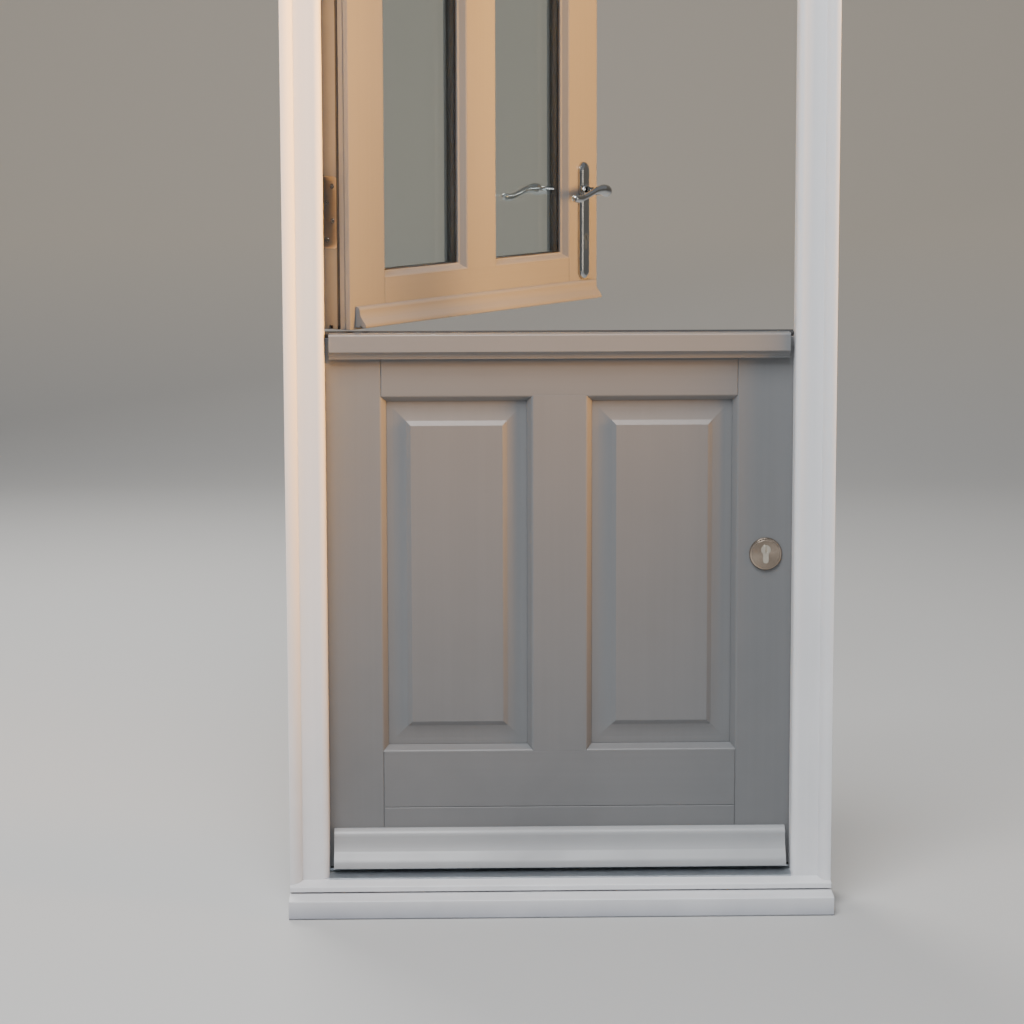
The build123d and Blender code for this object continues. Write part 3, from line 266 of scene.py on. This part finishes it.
def bump(tree, height, distance, strength=1.0, normal=None):
    """A normal that follows a height."""
    inputs = {"Height": height, "Distance": distance, "Strength": strength}
    if normal is not None:
        inputs["Normal"] = normal
    return add(tree, "ShaderNodeBump", inputs).outputs["Normal"]


def soft_edge(tree, radius):
    """A normal that rounds the edges a little."""
    return add(tree, "ShaderNodeBevel", {"Radius": radius}, samples=4).outputs["Normal"]


def heights(tree):
    """The height above the floor."""
    return add(tree, "ShaderNodeSeparateXYZ", {"Vector": place(tree)}).outputs["Z"]


def rgba(colour, factor=1.0):
    """A colour with its alpha, made lighter or darker."""
    return tuple(min(1.0, c * factor) for c in colour) + (1.0,)


def shaded(colour, shares):
    """A colour with a share of each of its channels."""
    return tuple(c * share for c, share in zip(colour, shares)) + (1.0,)


def lighter(colour, factor):
    """A colour times a factor."""
    return tuple(c * factor for c in colour)


# Materials

def paint_tone(tree, colour, grain, cloud, soil, crevice_shade):
    """Painted timber's colour: uneven, lighter on the grain, soiled low down, splashed and painted in shade
    at the floor, with painted shade in crevices if asked.
    """
    tone = blend(tree, spread(tree, cloud, 0.3, 0.7, 0.0, 0.55), rgba(colour), rgba(colour, 0.90))
    tone = blend(tree, spread(tree, grain, 0.35, 0.7, 0.0, 0.30), tone, rgba(colour, 1.09))
    # A darker tone for soil low down and for the painted shade in crevices.
    soil_and_shade_tone = shaded(colour, SOIL_AND_SHADE_SHARE)
    tone = blend(tree, combine(tree, "MULTIPLY", soil, 0.25), tone, soil_and_shade_tone)
    # Splashed dirt and painted shade at the foot: the paint goes darker and bluer towards the floor, in
    # patches.
    splash_and_shade = spread(tree, heights(tree), SPLASH_AND_SHADE_TOP, 0.0)
    splash_and_shade = combine(tree, "MULTIPLY", splash_and_shade, spread(tree, cloud, 0.25, 0.75, 0.55, 1.0))
    tone = blend(tree, splash_and_shade, tone, shaded(colour, SPLASH_AND_SHADE_SHARE))
    # Painted shade: ambient occlusion darkens the paint towards the darker tone in crevices, round the
    # panels and in the joints.
    if crevice_shade:
        crevice_occlusion = add(tree, "ShaderNodeAmbientOcclusion", {"Distance": CREVICE_SHADE_REACH}, samples=4)
        tone = blend(tree, spread(tree, crevice_occlusion.outputs["AO"], 0.30, 0.75, crevice_shade, 0.0), tone, soil_and_shade_tone)
    return tone


def paint(name, colour, along, turn=0.0, rough=0.42, crevice_shade=0.0):
    """Satin paint on timber, with brush lines along the board."""
    made, tree, shader = new_material(name)
    lines = noise(tree, along_board(tree, along, BRUSH_LINES, turn), 1.0, 3.0, 0.6)
    grain = noise(tree, along_board(tree, along, WOOD_GRAIN, turn, (3.1, 1.7, 0.4)), 1.0, 4.0, 0.55)
    peel = noise(tree, place(tree), 420.0, 2.0)
    cloud = noise(tree, place(tree, shift=(1.3, 0.2, 4.0)), 3.2, 4.0, 0.6)
    low_down = spread(tree, heights(tree), SOIL_TOP, 0.0)
    soil = combine(tree, "MULTIPLY", low_down, spread(tree, cloud, 0.42, 0.68))
    feed(tree, shader.inputs["Base Color"], paint_tone(tree, colour, grain, cloud, soil, crevice_shade))
    gloss = spread(tree, lines, 0.3, 0.7, rough - 0.05, rough + 0.07)
    gloss = combine(tree, "ADD", gloss, combine(tree, "MULTIPLY", soil, 0.22))
    feed(tree, shader.inputs["Roughness"], gloss)
    normal = bump(tree, grain, 0.00035, 0.35, soft_edge(tree, PAINT_EDGE))
    normal = bump(tree, lines, 0.00010, 0.30, normal)
    feed(tree, shader.inputs["Normal"], bump(tree, peel, 0.00008, 0.25, normal))
    shader.inputs["Specular IOR Level"].default_value = 0.5
    return made


def metal_lines(tree, along):
    """Drawn lines along one axis, or an even grain."""
    if along:
        return noise(tree, along_board(tree, along, DRAWN_LINES), 1.0, 3.0, 0.6)
    return noise(tree, along_board(tree, "z", CAST_GRAIN), 1.0, 3.0, 0.6)


def metal(name, colour, rough, along=None, marks=0.5, wear=0.0):
    """Metal with its lines, a film of handling marks, and worn spots if asked."""
    made, tree, shader = new_material(name)
    shader.inputs["Metallic"].default_value = 1.0
    lines = metal_lines(tree, along)
    cloud = noise(tree, place(tree, shift=(0.4, 2.2, 0.9)), 38.0, 4.0, 0.6)
    tone = blend(tree, spread(tree, cloud, 0.35, 0.7, 0.0, marks), rgba(colour), rgba(colour, 0.78))
    if wear:
        spots = noise(tree, place(tree), 160.0, 3.0, 0.7)
        tone = blend(tree, spread(tree, spots, 0.60, 0.72, 0.0, wear), tone, rgba(WORN_METAL))
    feed(tree, shader.inputs["Base Color"], tone)
    gloss = spread(tree, lines, 0.3, 0.7, rough * 0.85, rough * 1.2)
    gloss = combine(tree, "ADD", gloss, spread(tree, cloud, 0.4, 0.75, 0.0, 0.10 * marks))
    feed(tree, shader.inputs["Roughness"], gloss)
    depth = 0.00006 if along else 0.00002
    feed(tree, shader.inputs["Normal"], bump(tree, lines, depth, 0.35, soft_edge(tree, METAL_EDGE)))
    return made


def polar(tree, centre_x, centre_z):
    """The distance from a centre and the angle round it, on an upright face."""
    parts = add(tree, "ShaderNodeSeparateXYZ", {"Vector": place(tree, shift=(-centre_x, 0, -centre_z))})
    across = combine(tree, "MULTIPLY", parts.outputs["X"], parts.outputs["X"])
    upward = combine(tree, "MULTIPLY", parts.outputs["Z"], parts.outputs["Z"])
    radius = combine(tree, "POWER", combine(tree, "ADD", across, upward), 0.5)
    return radius, combine(tree, "ARCTAN2", parts.outputs["Z"], parts.outputs["X"])


def disc_tone_with_painted_fan(tree, colour, angle, rings):
    """A turned disc's colour: a painted fan of highlight and shade, handling marks and rings."""
    # Painted highlight and shade: lighter and darker lobes round the centre, like the fan of light a spun
    # disc reflects.
    fan_highlight = combine(tree, "SINE", combine(tree, "ADD", combine(tree, "MULTIPLY", angle, 2.0), 0.7))
    cloud = noise(tree, place(tree), 60.0, 4.0, 0.6)
    tone = blend(tree, spread(tree, fan_highlight, -1.0, 1.0), rgba(colour, 0.80), rgba(colour, 1.22))
    tone = blend(tree, spread(tree, cloud, 0.4, 0.7, 0.0, 0.30), tone, rgba(colour, 0.7))
    return blend(tree, spread(tree, rings, 0.35, 0.65, 0.0, 0.25), tone, rgba(colour, 1.25))


def spun_metal(name, colour, rough, centre_x, centre_z):
    """Brushed metal whose lines run round a centre, as on a turned disc."""
    made, tree, shader = new_material(name)
    shader.inputs["Metallic"].default_value = 1.0
    radius, angle = polar(tree, centre_x, centre_z)
    along_line = combine(tree, "MULTIPLY", angle, LINE_STRETCH)
    unrolled = add(tree, "ShaderNodeCombineXYZ", {"X": radius, "Y": along_line}).outputs[0]
    lines = noise(tree, unrolled, 4200.0, 4.0, 0.7)
    rings = noise(tree, unrolled, 900.0, 2.0)
    feed(tree, shader.inputs["Base Color"], disc_tone_with_painted_fan(tree, colour, angle, rings))
    feed(tree, shader.inputs["Roughness"], spread(tree, lines, 0.3, 0.7, rough * 0.8, rough * 1.25))
    feed(tree, shader.inputs["Normal"], bump(tree, lines, 0.00005, 0.5, soft_edge(tree, DISC_EDGE)))
    shader.inputs["Anisotropic"].default_value = 0.75
    round_it = add(tree, "ShaderNodeTangent", direction_type="RADIAL", axis="Y")
    feed(tree, shader.inputs["Tangent"], round_it.outputs["Tangent"])
    return made


def rubber(name, colour):
    """Matt rubber with a little dust."""
    made, tree, shader = new_material(name)
    dust = noise(tree, place(tree), 55.0, 4.0, 0.65)
    tone = blend(tree, spread(tree, dust, 0.45, 0.75, 0.0, 0.5), rgba(colour), rgba(colour, 2.6))
    feed(tree, shader.inputs["Base Color"], tone)
    feed(tree, shader.inputs["Roughness"], spread(tree, dust, 0.3, 0.7, 0.5, 0.72))
    fine = noise(tree, place(tree), 900.0, 2.0)
    feed(tree, shader.inputs["Normal"], bump(tree, fine, 0.00005, 0.4))
    return made


def clear_glass(name):
    """Float glass with the faintest film on it."""
    made, tree, shader = new_material(name)
    shader.inputs["Base Color"].default_value = (0.90, 0.94, 0.93, 1.0)
    shader.inputs["Transmission Weight"].default_value = 1.0
    shader.inputs["IOR"].default_value = 1.50
    film = noise(tree, place(tree), 6.0, 5.0, 0.65)
    feed(tree, shader.inputs["Roughness"], spread(tree, film, 0.45, 0.8, 0.0, 0.02))
    return made


MATERIALS = {
    "frame_paint": paint("frame_paint_upright", FRAME_PAINT, "z", rough=0.40),
    "frame_paint_level": paint("frame_paint_level", FRAME_PAINT, "x", rough=0.40),
    "leaf_paint": paint("leaf_paint_upright", LEAF_PAINT, "z", rough=0.36),
    "leaf_paint_level": paint("leaf_paint_level", LEAF_PAINT, "x", rough=0.36),
    "open_leaf_paint_level": paint("open_leaf_paint_level", LEAF_PAINT, "x", -OPEN_ANGLE, rough=0.36),
    "bead_paint": paint("bead_paint", LEAF_PAINT, "z", rough=0.62),
    # The panels' paint carries painted shade in its crevices.
    "panel_paint_with_crevice_shade": paint("panel_paint_with_crevice_shade", LEAF_PAINT, "z", rough=0.36, crevice_shade=0.75),
    # The ledge and the lower weatherboard are lighter copies of the leaf paint: painted light, for the
    # light that falls on their tops from above.
    "ledge_paint_with_painted_light": paint("ledge_paint_with_painted_light", lighter(LEAF_PAINT, 1.12), "x", rough=0.34),
    "board_paint_with_painted_light": paint("board_paint_with_painted_light", lighter(LEAF_PAINT, 2.15), "x", rough=0.34),
    "bar_aluminium": metal("bar_aluminium", (0.62, 0.66, 0.70), 0.38, "x", 0.6),
    "seal_rubber": rubber("seal_rubber", (0.022, 0.022, 0.024)),
    "hinge_steel": metal("hinge_steel", (0.52, 0.47, 0.43), 0.33, "z", 0.5, wear=0.12),
    "screw_steel": metal("screw_steel", (0.60, 0.58, 0.55), 0.22, None, 0.4),
    # A dark material for the painted shade round screw heads and in their recesses.
    "screw_painted_shade": rubber("screw_painted_shade", (0.03, 0.026, 0.022)),
    "lock_steel": metal("lock_steel", (0.50, 0.49, 0.48), 0.32, "z", 0.4),
    "cylinder_nickel": metal("cylinder_nickel", (0.74, 0.68, 0.58), 0.20, None, 0.4),
    "satin_steel": spun_metal("satin_steel", (0.40, 0.325, 0.26), 0.24, LOCK_X, ESCUTCHEON_Z),
    "chrome": metal("chrome", (0.55, 0.556, 0.554), 0.07, None, 0.25),
    "glass": clear_glass("glass"),
    "spacer": rubber("spacer", (0.030, 0.032, 0.036)),
}
LEVEL_NODES = {
    "frame_paint": ("head", "sill", "sub_sill", "cover_bead_head"),
    "leaf_paint": ("lower_top_rail", "lower_mid_rail", "lower_base_rail"),
    "open_leaf_paint": ("upper_top_rail", "upper_base_rail", "upper_weatherboard"),
}
OWN_MATERIAL = {
    "ledge": "ledge_paint_with_painted_light",
    "glazing_beads": "bead_paint",
    "lower_weatherboard": "board_paint_with_painted_light",
    "panel_left": "panel_paint_with_crevice_shade",
    "panel_right": "panel_paint_with_crevice_shade",
}
SLOT_OF = {part["node"]: part["material_slot"] for part in frame["record"]["subparts"]}


def material_of(node):
    """The material of a node: its own, or its slot's with the grain along the board."""
    for start, members in LEVEL_NODES.items():
        if node in members:
            return MATERIALS[start + "_level"]
    return MATERIALS[OWN_MATERIAL.get(node, SLOT_OF[node])]


for node_name, node_object in nodes.items():
    node_object.data.materials.clear()
    node_object.data.materials.append(material_of(node_name))


# Mesh helpers for the small pieces that the source leaves to the looks

def facing(direction, at, spin):
    """A matrix whose z looks along a direction, at a place, with its x turned by a spin."""
    turn = Vector(direction).to_track_quat("Z", "Y").to_matrix().to_4x4()
    return Matrix.Translation(at) @ turn @ Matrix.Rotation(spin, 4, "Z")


def circle(count):
    """The cosine and the sine of each of a circle's points."""
    angles = [2 * math.pi * step / count for step in range(count)]
    return [(math.cos(angle), math.sin(angle)) for angle in angles]


def ring(made, matrix, radius, height):
    """A circle of points above a surface."""
    places = [Vector((radius * x, radius * y, height)) for x, y in circle(RING_POINTS)]
    return [made.verts.new(matrix @ at) for at in places]


def cross(made, matrix, arm, height):
    """The outline of a cross recess."""
    half = arm * CROSS_WIDTH
    quarter = ((arm, -half), (arm, half), (half, half))
    points = []
    for step in range(4):
        turn = Matrix.Rotation(step * math.pi / 2, 4, "Z")
        for x, y in quarter:
            points.append(made.verts.new(matrix @ turn @ Vector((x, y, height))))
    return points


def band(made, low, high, index=0):
    """Faces between two rings of as many points."""
    for step in range(len(low)):
        after = (step + 1) % len(low)
        face = made.faces.new((low[step], low[after], high[after], high[step]))
        face.material_index = index
        face.smooth = True


def skin(made, rows, closed=True):
    """Faces between the rows of points, with a cap at each end if closed."""
    for low, high in zip(rows, rows[1:]):
        band(made, low, high)
    if closed:
        made.faces.new(rows[0])
        made.faces.new(rows[-1])


def loop_edges(made, points):
    """The edges round a ring of points."""
    edges = []
    for step, point in enumerate(points):
        pair = (point, points[(step + 1) % len(points)])
        edges.append(made.edges.get(pair) or made.edges.new(pair))
    return edges


def mesh_piece(name, made, body, materials, swing=False):
    """A mesh object that rides on a body, swung open with the upper leaf if asked."""
    if swing:
        bmesh.ops.transform(made, matrix=SWING, verts=made.verts)
    bmesh.ops.recalc_face_normals(made, faces=made.faces)
    mesh = bpy.data.meshes.new(name)
    made.to_mesh(mesh)
    made.free()
    piece = bpy.data.objects.new(name, mesh)
    bpy.context.scene.collection.objects.link(piece)
    for material in materials:
        mesh.materials.append(material)
    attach(piece, body)
    return piece


# Screws

def screw(made, matrix, radius):
    """A countersunk head: a soft rim, a cross recess, a ring of painted shade round it and painted shade at
    the foot of the recess.
    """
    shade_ring = ring(made, matrix, radius + SCREW_SHADE_RING, SHADE_RING_RISE)
    foot = ring(made, matrix, radius, FOOT_RISE)
    side = ring(made, matrix, radius, SCREW_RISE - SCREW_RIM)
    soft = ring(made, matrix, radius - SCREW_RIM * SCREW_SOFT, SCREW_RISE - SCREW_RIM * SCREW_SOFT)
    top = ring(made, matrix, radius - SCREW_RIM, SCREW_RISE)
    # A ring of painted shade round the head, where its countersink meets the surface.
    band(made, shade_ring, foot, 1)
    skin(made, (foot, side, soft, top), closed=False)
    mouth = cross(made, matrix, radius * CROSS_ARM, SCREW_RISE)
    bottom = cross(made, matrix, radius * CROSS_FOOT, FOOT_RISE)
    edges = loop_edges(made, top) + loop_edges(made, mouth)
    upward = matrix.to_3x3() @ Vector((0, 0, 1))
    bmesh.ops.triangle_fill(made, edges=edges, use_beauty=True, normal=upward)
    band(made, mouth, bottom)
    # Painted shade at the foot of the cross recess.
    made.faces.new(bottom).material_index = 1


def screws(name, body, direction, places, radius, swing=False):
    """A set of like screws in one piece, each with its cross turned by chance."""
    made = bmesh.new()
    for at in places:
        screw(made, facing(direction, at, draw.uniform(0, math.pi / 2)), radius)
    mesh_piece(name, made, body, [MATERIALS["screw_steel"], MATERIALS["screw_painted_shade"]], swing)


def span(node):
    """Foot and top of a node."""
    low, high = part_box(node)
    return low[2], high[2]


def flap_places(x, middles):
    """The staggered screws of a set of hinge flaps."""
    return [(x, y, z + rise) for z in middles for y, rise in FLAP_SCREWS]


def forend_places(case, cylinder):
    """The screws of a lock's face plate, and the one that holds the cylinder."""
    foot, top = span(case)
    return [(LEAF_EDGE, MID_PLANE, z) for z in (foot + FOREND_SCREW, top - FOREND_SCREW, cylinder)]


def keep_places():
    """Two screws in each striking plate, clear of its openings."""
    low, high = span("lower_keep")
    foot, top = span("upper_keep")
    levels = (low + KEEP_SCREW, high - KEEP_SCREW, foot + KEEP_SCREW, top - UPPER_KEEP_SCREW)
    return [(REBATE, MID_PLANE, z) for z in levels]


def tie_places(*levels):
    """Two screws beside the guides of the tie bolt, at each level."""
    return [(TIE_X + side * TIE_SCREW, TIE_FACE_Y, z) for z in levels for side in (-1, 1)]


def plate_places():
    """The screws of the inner backplate."""
    return [(LOCK_X, PLATE_Y, PLATE_Z + side * PLATE_SCREW) for side in (-1, 1)]


# Levers

def smooth_through(stations, column):
    """A curve through one column of the stations, which never swings past a station's value."""
    shares = [station[0] for station in stations]
    values = [station[column] for station in stations]
    steps = [after - before for before, after in zip(shares, shares[1:])]
    slopes = [(after - before) / step for before, after, step in zip(values, values[1:], steps)]
    tangents = [slopes[0]]
    for before, after in zip(slopes, slopes[1:]):
        tangents.append(2 * before * after / (before + after) if before * after > 0 else 0.0)
    tangents.append(slopes[-1])

    def value(share):
        index = 0
        while index < len(steps) - 1 and share > shares[index + 1]:
            index += 1
        t = (share - shares[index]) / steps[index]
        start, end = values[index], values[index + 1]
        lean_start, lean_end = tangents[index] * steps[index], tangents[index + 1] * steps[index]
        blend_in = t * t * (3 - 2 * t)
        return start + (end - start) * blend_in + t * (1 - t) * ((1 - t) * lean_start - t * lean_end)

    return value


def grip_shares():
    """Shares of the lever's reach, closer together near the ends, each with its ring's scale."""
    first, last = LEVER_STATIONS[0][0], LEVER_STATIONS[-1][0]
    pairs = []
    for step in range(GRIP_RINGS + 1):
        share = first + (last - first) * (0.5 - 0.5 * math.cos(math.pi * step / GRIP_RINGS))
        near_end = min(1.0, min(share - first, last - share) / GRIP_ROUND)
        pairs.append((share, max(math.sqrt(max(0.0, 1 - (1 - near_end) ** 2)), GRIP_TIP)))
    return pairs


def lever_grip(made):
    """The waved grip of a lever: oval rings that follow the stations, with rounded ends."""
    rise, high, wide = (smooth_through(LEVER_STATIONS, column) for column in (1, 2, 3))
    rows = []
    for share, scale in grip_shares():
        row = []
        for across, up in circle(GRIP_SIDES):
            row.append(made.verts.new((
                LOCK_X - share * LEVER_REACH,
                -LEVER_STAND + scale * wide(share) * across / MILLIMETRES,
                SPINDLE_Z + rise(share) / MILLIMETRES + scale * high(share) * up / MILLIMETRES,
            )))
        rows.append(row)
    skin(made, rows)


def lever_neck(made):
    """The round neck of a lever, which swells where it meets the grip."""
    rows = []
    for depth, radius in NECK_PROFILE:
        points = [(LOCK_X + radius * x, -depth, SPINDLE_Z + radius * z) for x, z in circle(GRIP_SIDES)]
        rows.append([made.verts.new(point) for point in points])
    skin(made, rows)


def lever(side):
    """One polished lever, outside or on the room side."""
    made = bmesh.new()
    lever_grip(made)
    lever_neck(made)
    if side == "inside":
        mirror = Matrix.Translation((0, LEAF_THICK, 0)) @ Matrix.Diagonal((1, -1, 1, 1))
        bmesh.ops.transform(made, matrix=mirror, verts=made.verts)
    piece = mesh_piece("polished_lever_" + side, made, "levers", [MATERIALS["chrome"]], True)
    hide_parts("lever_" + side)


# Strips round the panes

def gasket(made, middle, face, out):
    """A soft black strip round one pane, where its edge meets the timber."""
    profile = (
        (0.0, 0.0),
        (0.0, 0.8),
        (0.4, 1.0),
        (1.0, 0.5),
        (1.0, 0.0),
    )
    rows = []
    for across, up in profile:
        depth = STRIP_INSET + STRIP_WIDTH * across
        y = face + out * STRIP_HEIGHT * up
        left, right = middle - PANE_HALF + depth, middle + PANE_HALF - depth
        foot, top = PANE_Z[0] + depth, PANE_Z[1] - depth
        corners = ((left, y, foot), (right, y, foot), (right, y, top), (left, y, top))
        rows.append([made.verts.new(corner) for corner in corners])
    skin(made, rows, closed=False)


def panes():
    """The strips round both panes, outside and in."""
    made = bmesh.new()
    for side in (-1, 1):
        gasket(made, side * PANE_MIDDLE, GLASS_FRONT, -1)
        gasket(made, side * PANE_MIDDLE, GLASS_BACK, 1)
    mesh_piece("glazing_gaskets", made, "upper_leaf", [MATERIALS["seal_rubber"]], True)


# The small pieces, in the order in which the crosses are drawn
draw = random.Random(7)
screws("jamb_flap_screws", "frame", (1, 0, 0),
       flap_places(-REBATE, LOWER_HINGES + UPPER_HINGES), FLAP_HEAD)
screws("lower_leaf_flap_screws", "lower_leaf", (-1, 0, 0),
       flap_places(-LEAF_EDGE, LOWER_HINGES), FLAP_HEAD)
screws("upper_leaf_flap_screws", "upper_leaf", (-1, 0, 0),
       flap_places(-LEAF_EDGE, UPPER_HINGES), FLAP_HEAD, True)
screws("lower_forend_screws", "lower_leaf", (1, 0, 0),
       forend_places("lower_lock_case", LOWER_CYLINDER_Z), LOCK_HEAD)
screws("upper_forend_screws", "upper_leaf", (1, 0, 0),
       forend_places("upper_lock_case", UPPER_CYLINDER_Z), LOCK_HEAD, True)
screws("keep_screws", "frame", (-1, 0, 0), keep_places(), LOCK_HEAD)
screws("tie_bolt_screws", "upper_leaf", (0, 1, 0),
       tie_places(*(TIE_FOOT + rise for rise in TIE_SCREW_RISES)), TIE_HEAD, True)
screws("tie_keep_screws", "lower_leaf", (0, 1, 0), tie_places(TIE_KEEP_MIDDLE), TIE_HEAD)
screws("backplate_screws", "upper_leaf", (0, 1, 0), plate_places(), LOCK_HEAD, True)
panes()
for lever_side in ("outside", "inside"):
    lever(lever_side)


# Stage, lights and camera

def sweep_profile():
    """Depth and height of the floor, and of the soft curve up behind."""
    profile = [(-FLOOR_HALF, 0.0), (FLOOR_BACK, 0.0)]
    for step in range(1, SWEEP_STEPS + 1):
        angle = step / SWEEP_STEPS * math.pi / 2
        profile.append((FLOOR_BACK + SWEEP * math.sin(angle), SWEEP - SWEEP * math.cos(angle)))
    return profile + [(FLOOR_BACK + SWEEP, WALL_TOP)]


def stage_material():
    """A pale floor that turns into a warmer wall."""
    surface, tree, shader = new_material("floor")
    cloud = noise(tree, place(tree), 0.8)
    tone = blend(tree, cloud, rgba(FLOOR, 0.97), rgba(FLOOR, 1.03))
    tone = blend(tree, spread(tree, heights(tree), 0.0, WALL_TONE_FROM), tone, rgba(WALL))
    feed(tree, shader.inputs["Base Color"], tone)
    shader.inputs["Roughness"].default_value = 0.85
    return surface


def floor():
    """The stage that the door stands on."""
    mesh = bpy.data.meshes.new("floor")
    made = bmesh.new()
    profile = [(y, z - FLOOR_DROP) for y, z in sweep_profile()]
    left = [made.verts.new((-FLOOR_HALF, y, z)) for y, z in profile]
    right = [made.verts.new((FLOOR_HALF, y, z)) for y, z in profile]
    for index in range(len(profile) - 1):
        face = made.faces.new((left[index], right[index], right[index + 1], left[index + 1]))
        face.smooth = True
    made.to_mesh(mesh)
    made.free()
    piece = bpy.data.objects.new("floor", mesh)
    bpy.context.scene.collection.objects.link(piece)
    mesh.materials.append(stage_material())


def area_light(name, place_at, target, size, power, colour, angle, mirrored):
    """A soft rectangular light that faces a point, and shows in glossy surfaces or not."""
    data = bpy.data.lights.new(name, "AREA")
    data.shape = "RECTANGLE"
    data.size, data.size_y = size
    data.energy = power
    data.color = colour
    data.spread = math.radians(angle)
    piece = bpy.data.objects.new(name, data)
    piece.location = place_at
    piece.rotation_euler = (Vector(target) - Vector(place_at)).to_track_quat("-Z", "Y").to_euler()
    piece.visible_glossy = mirrored
    bpy.context.scene.collection.objects.link(piece)


def world_light():
    """An even pale surround."""
    world = bpy.data.worlds.new("studio")
    world.use_nodes = True
    sky = world.node_tree.nodes["Background"]
    sky.inputs["Color"].default_value = rgba(SKY)
    sky.inputs["Strength"].default_value = SKY_STRENGTH
    bpy.context.scene.world = world


def camera():
    """The camera at the photograph's viewing angle."""
    data = bpy.data.cameras.new("camera")
    data.lens = LENS
    data.sensor_width = SENSOR
    data.shift_y = SHIFT_Y
    piece = bpy.data.objects.new("camera", data)
    turn = Matrix.Rotation(-CAMERA_YAW, 4, "Z")
    tilt = Matrix.Rotation(math.pi / 2 - CAMERA_PITCH, 4, "X")
    roll = Matrix.Rotation(-CAMERA_ROLL, 4, "Z")
    piece.matrix_world = Matrix.Translation(CAMERA_AT) @ turn @ tilt @ roll
    bpy.context.scene.collection.objects.link(piece)
    bpy.context.scene.camera = piece


floor()
world_light()
for light_name, settings in LIGHTS.items():
    area_light(light_name, *settings)
camera()
